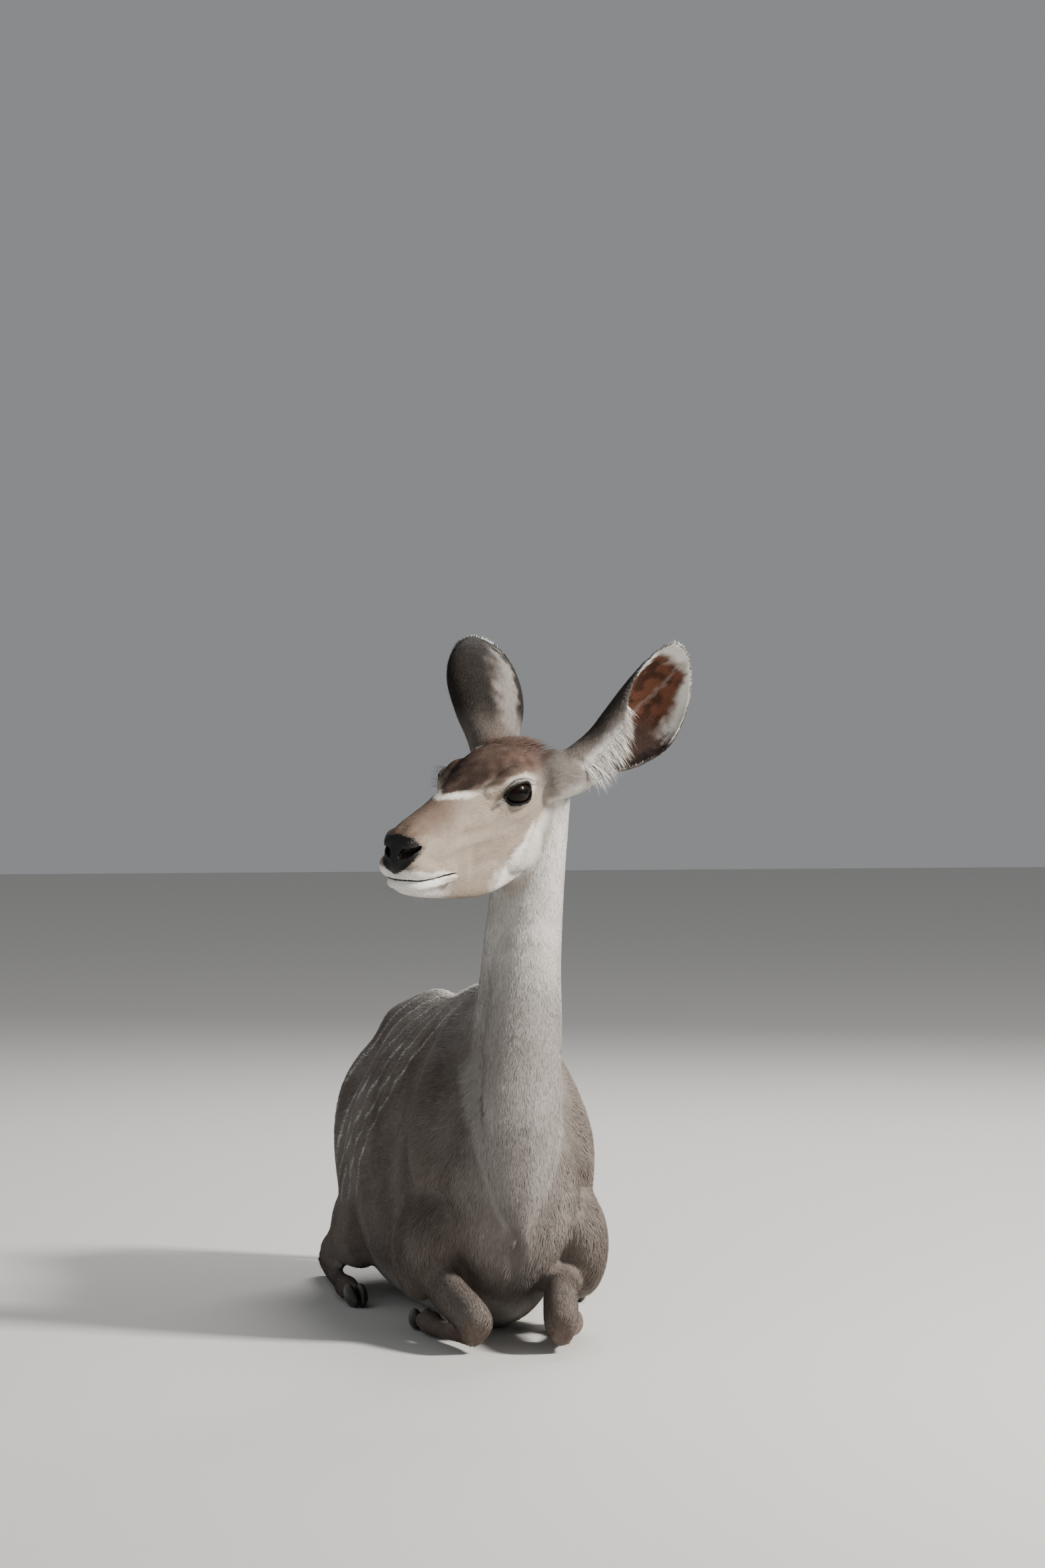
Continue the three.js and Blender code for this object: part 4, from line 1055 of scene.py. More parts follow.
def ear_marks(masks, spots, name):
    """An ear's colours: red-brown inside with white-haired edges, grey to nearly black behind, with
    painted shade on the far ear's back where it turns from the light and a faint painted highlight along
    a fold in the cup.
    """
    ear, belongs = EARS[name], spots.shares[:, PARTS.index(name)]
    fine, small = spots.fine, spots.small
    t, w, _, back = on_ear(ear, spots.points)
    share = smooth_step(belongs, 0.3, 0.6) * smooth_step(t + 0.06 * small, 0.0, 0.26)
    outward = ear["across"] * (w / (EAR_HALF_WIDTH * ear_half(t)))[:, None]
    outward = outward - ear["faces"] * (back / ear_cup(t))[:, None]
    inside = ((spots.normals * outward).sum(1) < 0).astype(float)
    rear = ear["s"] * w + 0.1 * grain(spots.points, 9, 5)
    front = np.maximum(-rear, smooth_step(-back, 0.1, 0.5))
    # The cup: white hair on the upper back edge, the tip and the front edge, dark blotches between, and a
    # faint painted highlight along a fold.
    high = smooth_step(t + 0.05 * fine, 0.4, 0.56)
    hairy = np.maximum.reduce([
        smooth_step(rear, 0.6, 0.86) * high, smooth_step(t + 0.04 * small, 0.84, 0.95),
        smooth_step(front + 0.04 * small, 0.7, 0.86) * smooth_step(t, 0.3, 0.44),
        smooth_step(front, 0.84, 0.97) * smooth_step(t, 0.08, 0.2)])
    low = smooth_step(rear, 0.05, 0.4) * (1 - high)
    patch = smooth_step(grain(spots.points, 16, 6) + 0.4 * fine, -0.1, 0.45)
    # A thin pale line across the cup: a painted highlight along its fold.
    fold_highlight = smooth_step(0.05 - np.abs(rear - 0.9 * (t - 0.55)), -0.05, 0.05) * smooth_step(t, 0.4, 0.5)
    lay(masks, "white", share * inside * (0.86 * hairy + 0.12 * (1 - hairy) * fold_highlight))
    lay(masks, "rufous", share * inside * (1 - hairy) * (1 - 0.4 * low))
    blotch = 0.62 * patch * smooth_step(t, 0.25, 0.5)
    foot = 0.7 * low + 0.25 * smooth_step(rear, 0.8, 0.95) * low
    lay(masks, "dark", share * inside * (1 - hairy) * np.maximum(blotch, foot))
    # The back: a dark edge and a darker side, which differ between the near and the far ear. On the far
    # ear the darker side is painted shade on the half turned from the light, and its dark top is the
    # ear's own colour.
    backing = share * (1 - inside)
    edge = smooth_step(rear, 0.5, 0.72) * smooth_step(t, 0.2, 0.4)
    ruffle = 0.14 * grain(spots.points, 14, 9) + 0.06 * fine
    if name == "ear_right":
        # The far ear's darker half is painted shade on the side turned from the light.
        deepest = 0.88
        deep = np.maximum(smooth_step(-rear + ruffle, -0.3, 0.42), smooth_step(t + ruffle, 0.72, 0.98))
    else:
        deepest = 0.7
        deep = smooth_step(back + ruffle, -1.0, -0.2)
        edge *= smooth_step(0.6 - t, -0.06, 0.1)
        rolled = smooth_step(-back + ruffle, 0.5, 0.9) * smooth_step(0.46 - t, -0.06, 0.1)
        lay(masks, "white", backing * 0.72 * rolled)
    deep *= smooth_step(t, -0.05, 0.3)
    lay(masks, "dark", backing * np.maximum(0.95 * edge, deepest * deep))
    # The shadow deep in the cup, and the ground colour.
    hollow = smooth_step(belongs, 0.1, 0.4) * inside * smooth_step(0.24 - t, -0.04, 0.08)
    lay(masks, "dark", 0.85 * hollow)
    masks["white"] *= 1 - hollow
    # On the far ear the painted shade also darkens the grey of the back.
    ground = (0.56 - 0.4 * deep) * (1 - inside) + 0.1 * inside
    masks["grey"] += share * (ground - masks["grey"])
    masks["tan"] *= 1 - share


def low_marks(masks, spots):
    """Red-brown cannons, pale belly, the tail's dark end and pale inner side, and a painted shade in the
    furrow down the middle of the chest.
    """
    x, y, z = spots.x, spots.y, spots.z
    lay(masks, "rufous", 0.16 * (spots.legs * smooth_step(z, 60, 34)))
    lay(masks, "white", 0.35 * spots.trunk * smooth_step(z, 90, 30))
    lay(masks, "dark", spots.tail * smooth_step(z, 120, 80))
    lay(masks, "white", spots.tail * smooth_step(spots.normals[:, 1], 0.1, -0.4) * (z > 120) * 0.8)
    # A dark line down the middle of the brisket: painted shade in the furrow between its two sides.
    lay(masks, "dark", 0.32 * spots.neck * smooth_step(13 - np.abs(x + 4 - 0.03 * (z - 150)), -12, 12)
        * smooth_step(z, 420, 250) * (y < -250))


def markings(points, normals, shares):
    """Masks from 0 to 1: grey, tan, rufous, dark, white and bare skin, and a broad light-dark mottle."""
    spots = Spots(points, normals, shares)
    masks = {colour: np.zeros(len(points)) for colour in MASKS}
    column = throat_column(spots)
    ground_colour(masks, spots, column)
    flank_marks(masks, spots, column)
    for mark in (forehead_marks, pale_marks, eye_marks, muzzle_marks, nape_marks):
        mark(masks, spots)
    for name in EARS:
        ear_marks(masks, spots, name)
    low_marks(masks, spots)
    mottle = np.clip(0.5 + 0.26 * spots.broad + 0.16 * grain(points, 18, 8) + 0.08 * spots.fine, 0, 1)
    found = {colour: np.clip(masks[colour], 0, 1) for colour in MASKS}
    return found | {"bare": masks["bare"], "mottle": mottle}


def store(mesh, values):
    """Writes arrays of one number a point into the mesh as named attributes."""
    for name, value in values.items():
        mesh.attributes.new(name, "FLOAT", "POINT").data.foreach_set("value", value.astype(np.float32))


skin_normals = normals_of(skin.data)
skin_marks = markings(skin_points, skin_normals, skin_shares)
ones = np.ones(len(skin_points))
# A tip of 0.4 gives the skin under the coat part of the painted shade that darkens the tufts' roots.
store(skin.data, skin_marks | {"tip": 0.4 * ones, "vary": 0.5 * ones})
print("share of the skin that is white:", round(float(skin_marks["white"].mean()), 3))

# %% [markdown]
# ## The coat's colours
# One node group turns the masks into colour, and every piece of the animal uses it, so skin and
# tufts always agree. Brown, grey and tan are the ground, and rufous, dark and white go over them, and
# each tuft is a little darker at its root than at its tip, a painted shade where the hairs cover
# each other. The masks are attributes, which the export can bake, and the colours are plain numbers
# in the group.

# %% Build the colour group
COLOURS = {"brown": (0.09, 0.066, 0.051), "grey": (0.4, 0.37, 0.345), "tan": (0.36, 0.285, 0.22),
           "rufous": (0.145, 0.058, 0.034), "dark": (0.008, 0.0065, 0.006), "white": (0.88, 0.86, 0.82)}


def new_group(name, inputs, outputs):
    """An empty node group with named number or colour sockets."""
    group = bpy.data.node_groups.new(name, "ShaderNodeTree")
    for label, kind in inputs:
        group.interface.new_socket(label, in_out="INPUT", socket_type=kind)
    for label, kind in outputs:
        group.interface.new_socket(label, in_out="OUTPUT", socket_type=kind)
    return group, group.nodes.new("NodeGroupInput"), group.nodes.new("NodeGroupOutput")


def maths(tree, operation, *values):
    """A Math node, its inputs either numbers or sockets."""
    node = tree.nodes.new("ShaderNodeMath")
    node.operation = operation
    for socket, value in zip(node.inputs, values):
        if isinstance(value, (int, float)):
            socket.default_value = value
        else:
            tree.links.new(value, socket)
    return node.outputs[0]


def mixed(tree, amount, first, second):
    """A Mix node for colours."""
    node = tree.nodes.new("ShaderNodeMix")
    node.data_type = "RGBA"
    for socket, value in ((node.inputs[0], amount), (node.inputs[6], first), (node.inputs[7], second)):
        if isinstance(value, tuple):
            socket.default_value = (*value, 1)
        elif isinstance(value, (int, float)):
            socket.default_value = value
        else:
            tree.links.new(value, socket)
    return node.outputs[2]


FLOAT, COLOUR = "NodeSocketFloat", "NodeSocketColor"
coat_group, group_in, group_out = new_group(
    "coat colour", [(m, FLOAT) for m in (*MASKS, "mottle", "tip", "vary")], [("Colour", COLOUR)])
shade = mixed(coat_group, group_in.outputs["grey"], COLOURS["brown"], COLOURS["grey"])
for mask in MASKS[1:]:
    shade = mixed(coat_group, group_in.outputs[mask], shade, COLOURS[mask])
light = maths(coat_group, "MULTIPLY_ADD", group_in.outputs["mottle"], 0.4, 0.74)
# The tip number darkens each tuft towards its root: painted shade where the hairs cover each other.
light = maths(coat_group, "MULTIPLY", light,
              maths(coat_group, "MULTIPLY_ADD", group_in.outputs["tip"], 0.2, 0.9))
light = maths(coat_group, "MULTIPLY", light,
              maths(coat_group, "MULTIPLY_ADD", group_in.outputs["vary"], 0.18, 0.91))
scale = coat_group.nodes.new("ShaderNodeVectorMath")
scale.operation = "SCALE"
coat_group.links.new(shade, scale.inputs[0])
coat_group.links.new(light, scale.inputs["Scale"])
coat_group.links.new(scale.outputs[0], group_out.inputs["Colour"])
print("group sockets:", [s.name for s in coat_group.interface.items_tree])

# %% [markdown]
# ## Skin, fur, horn and wet surfaces
# Fur scatters light and has almost no gloss. The nose pad is bare, damp and pebbled, and the same
# skin material makes it so where the bare mask is 1. Hooves are dull horn. The eye is a dark ball
# under a clear, wet coat.

# %% Make the materials
def material(name, roughness, colour=(0.5, 0.5, 0.5), **sockets):
    """A material with a Principled shader whose constants are set on its own sockets."""
    made = bpy.data.materials.new(name)
    made.use_nodes = True
    shader = made.node_tree.nodes["Principled BSDF"]
    shader.inputs["Base Color"].default_value = (*colour, 1)
    shader.inputs["Roughness"].default_value = roughness
    for label, value in sockets.items():
        shader.inputs[label.replace("_", " ")].default_value = value
    return made, made.node_tree, shader


def reads(tree, name):
    """An Attribute node that reads one of the mesh's own numbers."""
    node = tree.nodes.new("ShaderNodeAttribute")
    node.attribute_name = name
    return node.outputs["Fac"]


def dress(tree, shader):
    """Puts the coat's colour group into a material."""
    node = tree.nodes.new("ShaderNodeGroup")
    node.node_tree = coat_group
    for socket in node.inputs:
        tree.links.new(reads(tree, socket.name), socket)
    tree.links.new(node.outputs["Colour"], shader.inputs["Base Color"])


def noise(tree, size):
    """Noise on Object coordinates; size is in features per metre."""
    place = tree.nodes.new("ShaderNodeTexCoord")
    node = tree.nodes.new("ShaderNodeTexNoise")
    node.inputs["Scale"].default_value = size
    node.inputs["Detail"].default_value = 3
    tree.links.new(place.outputs["Object"], node.inputs["Vector"])
    return node.outputs["Fac"]


def bump(tree, shader, height, distance):
    """A Bump node into the shader's Normal."""
    node = tree.nodes.new("ShaderNodeBump")
    node.inputs["Strength"].default_value = 1
    node.inputs["Distance"].default_value = distance
    tree.links.new(height, node.inputs["Height"])
    tree.links.new(node.outputs["Normal"], shader.inputs["Normal"])


skin_material, tree, shader = material("short fur and nose", 0.85, Specular_IOR_Level=0.3)
dress(tree, shader)
bare_skin = reads(tree, "bare")
tree.links.new(maths(tree, "MULTIPLY_ADD", bare_skin, -0.58, 0.85), shader.inputs["Roughness"])
pebbles = tree.nodes.new("ShaderNodeTexVoronoi")
pebbles.inputs["Scale"].default_value = 420
place = tree.nodes.new("ShaderNodeTexCoord")
tree.links.new(place.outputs["Object"], pebbles.inputs["Vector"])
pebbled = maths(tree, "MULTIPLY", pebbles.outputs["Distance"], maths(tree, "MULTIPLY", bare_skin, -0.5))
bump(tree, shader, maths(tree, "ADD", pebbled, maths(tree, "MULTIPLY", noise(tree, 900), 0.4)), 0.0012)

fur_material, tree, shader = material("tufts of fur", 0.8, Specular_IOR_Level=0.1)
dress(tree, shader)

lid_material, tree, shader = material("dark lid edge", 0.35, (0.012, 0.009, 0.008))
horn_material, tree, shader = material("hoof horn", 0.42, (0.02, 0.016, 0.013))
bump(tree, shader, noise(tree, 240), 0.0006)
lash_material, tree, shader = material("lashes", 0.5, (0.012, 0.01, 0.009))
whisker_material, tree, shader = material("whiskers", 0.5, (0.35, 0.31, 0.27))
eye_material, tree, shader = material("wet eye", 0.35, Specular_IOR_Level=0.05,
                                      Coat_Roughness=0.04, Coat_Weight=0.2)
iris = mixed(tree, reads(tree, "pupil"), (0.008, 0.004, 0.0025), (0.001, 0.001, 0.0012))
eye_colour = mixed(tree, reads(tree, "limbus"), iris, (0.006, 0.004, 0.004))
tree.links.new(eye_colour, shader.inputs["Base Color"])
floor_material, tree, shader = material("plain floor", 0.9, (0.62, 0.61, 0.59))
print("materials:", len(bpy.data.materials))

# %% [markdown]
# ## Finishing a piece
# Every piece goes through the same last steps: faces shaded smooth, its material in a slot, the body it
# moves with, and the solids it stands for.

# %% Finish a piece
def finish_piece(obj, made_of, stands_for=()):
    """Shades a piece smooth, gives it its material, body, slot and the solids that it replaces."""
    obj.data.polygons.foreach_set("use_smooth", np.ones(len(obj.data.polygons), bool))
    obj.data.materials.clear()
    obj.data.materials.append(made_of)
    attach(obj, "root")
    if stands_for:
        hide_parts(*stands_for)
    return obj


FLESH = ["torso", "neck", "head", "ear_left", "ear_right", "tail", "foreleg_left", "foreleg_right",
         "hindleg_left", "hindleg_right"]
skin.name = "skin"
finish_piece(skin, skin_material, FLESH)
print("the skin stands for", len(FLESH), "solids")

# %% [markdown]
# ## Eyes and lid edges
# The eyeball is a true sphere with a slightly stronger curve in front. A kudu's pupil is a level
# oval in a very dark iris. A thin, dark, damp edge runs round the almond of the lids, and long
# lashes hang over it from the upper lid.

# %% Make the eyes
def eyeball(s):
    """A sphere whose front swells a little; the masks give the pupil's oval and the iris's edge."""
    out, along, up = almond_axes(s)
    shape = globe(0.499, 49, 72)
    swell = 1 + 0.035 * smooth_step(shape[..., 2], 0.75, 0.97)
    rings = eye_centre(s) + EYEBALL * (shape * swell[..., None]) @ np.array([along, up, out])
    made = make_mesh("eye_left" if s > 0 else "eye_right", [loft(rings)])
    d = (points_of(made.data) - eye_centre(s)) / EYEBALL
    a, b = d @ along, d @ up
    pupil = smooth_step(1 - np.sqrt((a / 0.5) ** 2 + (b / 0.3) ** 2), 0, 0.12)
    limbus = smooth_step(np.sqrt(a**2 + b**2), 0.66, 0.78)
    store(made.data, {"pupil": pupil, "limbus": limbus})
    return made


def ring_tube(centre_line, radius):
    """A closed tube: small circles carried round a closed line."""
    around = 10
    ahead = unit(np.roll(centre_line, -1, 0) - np.roll(centre_line, 1, 0))
    out = unit(centre_line - centre_line.mean(0))
    side = unit(np.cross(ahead, out))
    out = np.cross(side, ahead)
    turn = np.linspace(0, 2 * math.pi, around, endpoint=False)
    rings = (centre_line[:, None] + radius * (out[:, None] * np.cos(turn)[:, None]
                                              + side[:, None] * np.sin(turn)[:, None]))
    a, b = ring_corners(len(rings), around)
    total = len(rings) * around
    faces = np.stack([a, b, (b + around) % total, (a + around) % total], 1)
    return rings.reshape(-1, 3), faces.tolist()


def lid_edge(s):
    """The almond's rim drawn in onto a ball just outside the eyeball."""
    rim = almond_rim(s, 10, 0.3) - eye_centre(s)
    return ring_tube(eye_centre(s) + unit(rim) * (EYEBALL + 1.6), 1.5)


for s, side in ((1, "left"), (-1, "right")):
    finish_piece(eyeball(s), eye_material, ["eye_" + side])
    finish_piece(make_mesh("lid_edge_" + side, [lid_edge(s)]), lid_material)
print("eyes and lid edges made")

# %% [markdown]
# ## Sowing the coat
# A kudu's coat is short and sleek: hairs of half a centimetre on the face and of under two on the
# body, all lying along the animal. Real fur has millions of hairs, so each tuft here is a flat
# blade of three triangles that stands for a small lock. The roots are spread evenly over the skin's
# triangles, more densely where the hair is finer.

# %% Spread the roots
# One number for each of the seven parts: tufts per square metre, and millimetres or a share.
PER_SQUARE_METRE = np.array([340, 290, 146, 146, 260, 320, 320]) * 1000.0
HAIR_LENGTH = np.array([6.0, 14, 17, 8, 20, 7, 7])
HAIR_WIDTH = np.array([0.95, 1.3, 1.5, 1.2, 1.5, 1.0, 1.0])
HAIR_LIFT = np.array([0.05, 0.03, 0.065, 0.07, 0.14, 0.055, 0.055])


def triangles_of(mesh):
    """A mesh's triangles as rows of three point numbers."""
    mesh.calc_loop_triangles()
    flat = np.empty(len(mesh.loop_triangles) * 3, np.int32)
    mesh.loop_triangles.foreach_get("vertices", flat)
    return flat.reshape(-1, 3)


def hair_room(points, normals, marks):
    """How thickly hair grows: nowhere on the nose pad, the lids' inside or in the mouth, and
    sparsely underneath where she lies on it."""
    f, _, u = in_head(points).T
    room = 1 - smooth_step(marks["bare"], 0.2, 0.6)
    room *= smooth_step(np.minimum(from_eye(points, 1), from_eye(points, -1)), 1.04, 1.12)
    over = above_mouth(f, u)
    on_muzzle = (f > 120) & (points[:, 2] > HEAD_FLOOR)
    room *= np.where(on_muzzle & (np.abs(over) < 3.2), 0.0, 1.0)
    under = smooth_step(-normals[:, 2], 0.55, 0.85) * smooth_step(points[:, 2], 120, 60)
    return room * (1 - 0.8 * under)


tris = triangles_of(skin.data)
corners = skin_points[tris]
crossed = np.cross(corners[:, 1] - corners[:, 0], corners[:, 2] - corners[:, 0])
area = np.linalg.norm(crossed, axis=1) / 2e6  # square metres
thickness = (skin_shares @ PER_SQUARE_METRE) * hair_room(skin_points, skin_normals, skin_marks)
expected = np.cumsum(area * thickness[tris].mean(1))
count = int(expected[-1])
pick = np.searchsorted(expected, (np.arange(count) + RANDOM.random(count)) / count * expected[-1])
pick = np.minimum(pick, len(tris) - 1)
a, b = np.sqrt(RANDOM.random(count)), RANDOM.random(count)
weights = np.stack([1 - a, a * (1 - b), a * b], 1)


def at_roots(values):
    """A value of the skin's points, blended for each root between its triangle's three corners."""
    return (values[tris[pick]] * weights[..., None]).sum(1)


roots, root_shares = at_roots(skin_points), at_roots(skin_shares)
root_normals, root_lie = unit(at_roots(skin_normals)), at_roots(skin_lie)
print("tufts:", count, "on", round(float(area.sum()), 2), "square metres")

# %% [markdown]
# ## One blade
# A blade has a pair of points at its root, a pair half way along and a single tip. It leaves the
# skin at a low angle and bends back towards it, so the coat looks combed and the skin hardly shows.
# Neighbours lean together a little, which makes the soft locks of real fur.

# %% Shape the blades
def blades(at, normals, lie, length, width, lift):
    """Five points and three triangles a blade: root pair, middle pair and tip, in millimetres."""
    lie = unit(lie - normals * (lie * normals).sum(1, keepdims=True))
    side = np.cross(lie, normals)
    lean = 0.3 * grain(at, 11, 9) + 0.16 * RANDOM.standard_normal(len(at))
    lie = unit(lie + side * lean[:, None])
    side = np.cross(lie, normals) * (width / 2)[:, None]
    low = at - 0.3 * normals
    middle = at + lie * (0.5 * length)[:, None] + normals * (0.3 + 0.75 * lift * length)[:, None]
    tip = at + lie * length[:, None] + normals * (lift * length)[:, None]
    points = np.stack([low - side, low + side, middle - 0.8 * side, middle + 0.8 * side, tip], 1)
    points[..., 2] = np.maximum(points[..., 2], HAIR_OVER_FLOOR)
    return points.reshape(-1, 3)


PATCH = 0.0014  # half the side of a tuft's patch on its chart
BLADE_POINTS = 5
BLADE_FACES = np.array([[0, 1, 3], [0, 3, 2], [2, 3, 4]])
# 0 at the root and 1 at the tip, for the painted shade at each blade's root.
BLADE_TIP = np.array([0, 0, 0.5, 0.5, 1.0])
BLADE_PATCH = np.array([[-1, -1], [1, -1], [-0.8, 0.1], [0.8, 0.1], [0, 1.0]]) * PATCH


def fast_mesh(name, points, faces, values, patches, normals=None):
    """A mesh of triangles from arrays, with its numbers a point and its OFBake map a corner. Given
    normals, one a point, make flat blades take the light as the rounded body under them does."""
    mesh = bpy.data.meshes.new(name)
    mesh.vertices.add(len(points))
    mesh.vertices.foreach_set("co", (points * MM).astype(np.float32).ravel())
    mesh.loops.add(faces.size)
    mesh.loops.foreach_set("vertex_index", faces.astype(np.int32).ravel())
    mesh.polygons.add(len(faces))
    mesh.polygons.foreach_set("loop_start", np.arange(0, faces.size, 3, dtype=np.int32))
    mesh.update()
    store(mesh, values)
    layer = mesh.uv_layers.new(name="OFBake")
    layer.uv.foreach_set("vector", patches[faces.ravel()].astype(np.float32).ravel())
    if normals is not None:
        mesh.polygons.foreach_set("use_smooth", np.ones(len(faces), bool))
        mesh.normals_split_custom_set_from_vertices(normals.astype(np.float32))
    made = bpy.data.objects.new(name, mesh)
    bpy.context.scene.collection.objects.link(made)
    return made


def many(one_faces, one_count, copies):
    """The faces of many copies of one small shape whose points follow each other."""
    return (one_faces[None] + (np.arange(copies) * one_count)[:, None, None]).reshape(-1, 3)


def tidy(chart):
    """A chart's numbers brought into the unit square, a little inside its border."""
    low, high = chart.min(0), chart.max(0)
    return 0.01 + 0.98 * (chart - low) / np.maximum(high - low, 1e-6)


print("triangles in the coat:", 3 * count)

# %% [markdown]
# ## Charts of the body
# A baked picture of the coat needs a flat chart of the skin. Each piece of the coat has its own:
# along the part in one direction and round it in the other, like the peel of an orange. Each tuft
# is a tiny patch at the place of its root.

# %% Lay out the charts
def turn_round(a, b):
    """The angle round a middle line, from 0 to 1."""
    return np.arctan2(a, b) / (2 * math.pi) + 0.5


def chart_of(part, points, normals):
    """Two numbers a root: how far along the part, and how far round it."""
    x, y, z = points.T
    f, l, u = in_head(points).T
    if part == "head":
        return np.stack([f, turn_round(l, u + 50) * 385], 1)
    if part == "neck":
        return np.stack([z, turn_round(x - 15, y + 240) * 700], 1)
    if part in ("ear_left", "ear_right"):
        t, w, _, back = on_ear(EARS[part], points)
        ear = EARS[part]
        outward = ear["across"] * (w / EAR_HALF_WIDTH)[:, None]
        outward = outward - ear["faces"] * (back / EAR_DEPTH)[:, None]
        inner = ((normals * outward).sum(1) < 0) * 3.0
        return np.stack([t, np.clip(w, -1.3, 1.3) + inner], 1)
    if part == "legs":
        which = 1.2 * (x > 0) + 2.4 * (y > 100)
        return np.stack([y % 1000, turn_round(x - np.sign(x) * 110, z - 45) + which], 1)
    if part == "tail":
        return np.stack([z, turn_round(x - 15, y - 775)], 1)
    return np.stack([y, turn_round(x, z - 230) * 1000], 1)


def coat_piece(name, chosen, chart):
    """The blades of one piece of the coat, with their markings and their chart."""
    at, normals, shares = roots[chosen], root_normals[chosen], root_shares[chosen]
    n = len(at)
    marks = markings(at, normals, shares)
    length = (shares @ HAIR_LENGTH) * (0.75 + 0.5 * RANDOM.random(n))
    f = in_head(at)[:, 0]
    length *= 1 - 0.35 * shares[:, 0] * smooth_step(f, 60, 170)
    width = (shares @ HAIR_WIDTH) * (0.8 + 0.4 * RANDOM.random(n))
    points = blades(at, normals, root_lie[chosen], length, width, shares @ HAIR_LIFT)
    values = {key: np.repeat(value, BLADE_POINTS) for key, value in marks.items()}
    values["tip"] = np.tile(BLADE_TIP, n)
    values["vary"] = np.repeat(RANDOM.random(n), BLADE_POINTS)
    patches = (tidy(chart)[:, None] + BLADE_PATCH).reshape(-1, 2)
    glow = unit(normals + 0.1 * RANDOM.standard_normal((n, 3)))
    made = fast_mesh(name, points, many(BLADE_FACES, BLADE_POINTS, n), values, patches,
                     np.repeat(glow, BLADE_POINTS, 0))
    return finish_piece(made, fur_material)


MOST_TUFTS = 64000
part_of_root = root_shares.argmax(1)
coat_triangles = 0
for number, part in enumerate(PARTS):
    mine = np.flatnonzero(part_of_root == number)
    charts = chart_of(part, roots[mine], root_normals[mine])
    pieces = max(1, math.ceil(len(mine) / MOST_TUFTS))
    order = np.argsort(charts[:, 0], kind="stable")
    for k, some in enumerate(np.array_split(order, pieces)):
        name = "coat_" + part + ("_" + str(k + 1) if pieces > 1 else "")
        coat_piece(name, mine[some], charts[some])
        coat_triangles += 3 * len(some)
        print(name, len(some), "tufts")

# %% [markdown]
# ## Long hair
# Some hair is long enough to be seen one by one: the short mane on the nape, the crest along the
# spine, the brush on the forehead, the white fringe that crosses the ears, the black end of the tail,
# lashes and whiskers. Each hair is a narrow ribbon that starts one way and bends towards another as
# the square of its length, and it narrows to a point.

# %% Shape ribbons
RIBBON_STEPS = 5


def ribbons(at, way, bend, length, width):
    """Points of ribbons: root + way t + bend t squared, a pair of points at each step and one tip."""
    t = np.linspace(0, 1, RIBBON_STEPS)[None, :, None]
    way, bend = unit(way)[:, None], np.asarray(bend)[:, None]
    line = at[:, None] + length[:, None, None] * (way * t + bend * t**2)
    ahead = unit(way + 2 * bend * t)
    side = unit(np.cross(ahead, unit(bend + 1e-3 * np.array([0.3, 0.5, 0.8])) + 0 * ahead))
    half = side * (width / 2)[:, None, None] * (1 - t) ** 0.7
    pairs = np.stack([line - half, line + half], 2)[:, :-1].reshape(len(at), -1, 3)
    points = np.concatenate([pairs, line[:, -1:]], 1).reshape(-1, 3)
    points[:, 2] = np.maximum(points[:, 2], HAIR_OVER_FLOOR)
    return points


RIBBON_POINTS = 2 * (RIBBON_STEPS - 1) + 1
RIBBON_FACES = np.array([f for k in range(RIBBON_STEPS - 2) for f in
                         ([2 * k, 2 * k + 1, 2 * k + 3], [2 * k, 2 * k + 3, 2 * k + 2])]
                        + [[RIBBON_POINTS - 3, RIBBON_POINTS - 2, RIBBON_POINTS - 1]])
# 0 at the root and 1 at the tip, for the painted shade at each ribbon's root.
RIBBON_TIP = np.append(np.repeat(np.linspace(0, 1, RIBBON_STEPS)[:-1], 2), 1.0)


def long_hair(name, at, way, bend, length, width, shares, chart, masks, made_of=None):
    """A piece of long hair: its ribbons, its masks (numbers or arrays) and its chart."""
    global coat_triangles
    n = len(at)
    marks = markings(at, unit(way), np.tile(shares, (n, 1)))
    marks = {key: np.zeros(n) + masks.get(key, marks[key]) for key in marks}
    values = {key: np.repeat(value, RIBBON_POINTS) for key, value in marks.items()}
    values["tip"] = np.tile(RIBBON_TIP, n)
    values["vary"] = np.repeat(RANDOM.random(n), RIBBON_POINTS)
    patch = np.stack([np.tile([-1.0, 1], RIBBON_STEPS)[:RIBBON_POINTS], 2 * RIBBON_TIP - 1], 1) * PATCH
    made = fast_mesh(name, ribbons(at, way, bend, length, width), many(RIBBON_FACES, RIBBON_POINTS, n),
                     values, (tidy(chart)[:, None] + patch).reshape(-1, 2))
    coat_triangles += len(RIBBON_FACES) * n
    return finish_piece(made, made_of or fur_material)


def spread(n, low, high):
    """Random numbers, evenly spread between two limits."""
    return low + (high - low) * RANDOM.random(n)


print("triangles in one ribbon:", len(RIBBON_FACES))

# %% [markdown]
# ## Mane, crest and brush
# The nape's hair stands up and back. The crest along the spine is a low, pale ridge, and the
# forehead carries a small dark brush between the ears.

# %% Grow the mane and the crest
def part_shares(part):
    """All of the shares on one part."""
    return np.eye(len(PARTS))[PARTS.index(part)]


n = 4200
t = spread(n, 0.34, 0.925)
at, along, across, back, wide, deep, _ = course(NECK_STOPS, NECK_SIDE)(t)
lean = RANDOM.standard_normal(n) * 5.5
at = at + back * (deep - 5 - 0.02 * lean**2)[:, None] + across * lean[:, None]
way = back * 0.8 - along * 1.0 + across * (0.03 * lean + 0.15 * RANDOM.standard_normal(n))[:, None]
long_hair("mane", at, way, -along * 0.5 - back * 0.25, spread(n, 22, 40), spread(n, 1.1, 1.7),
          part_shares("neck"), np.stack([t, lean / 30], 1),
          {"grey": 0.55, "dark": 0.16 * (np.abs(lean) < 5), "white": 0})

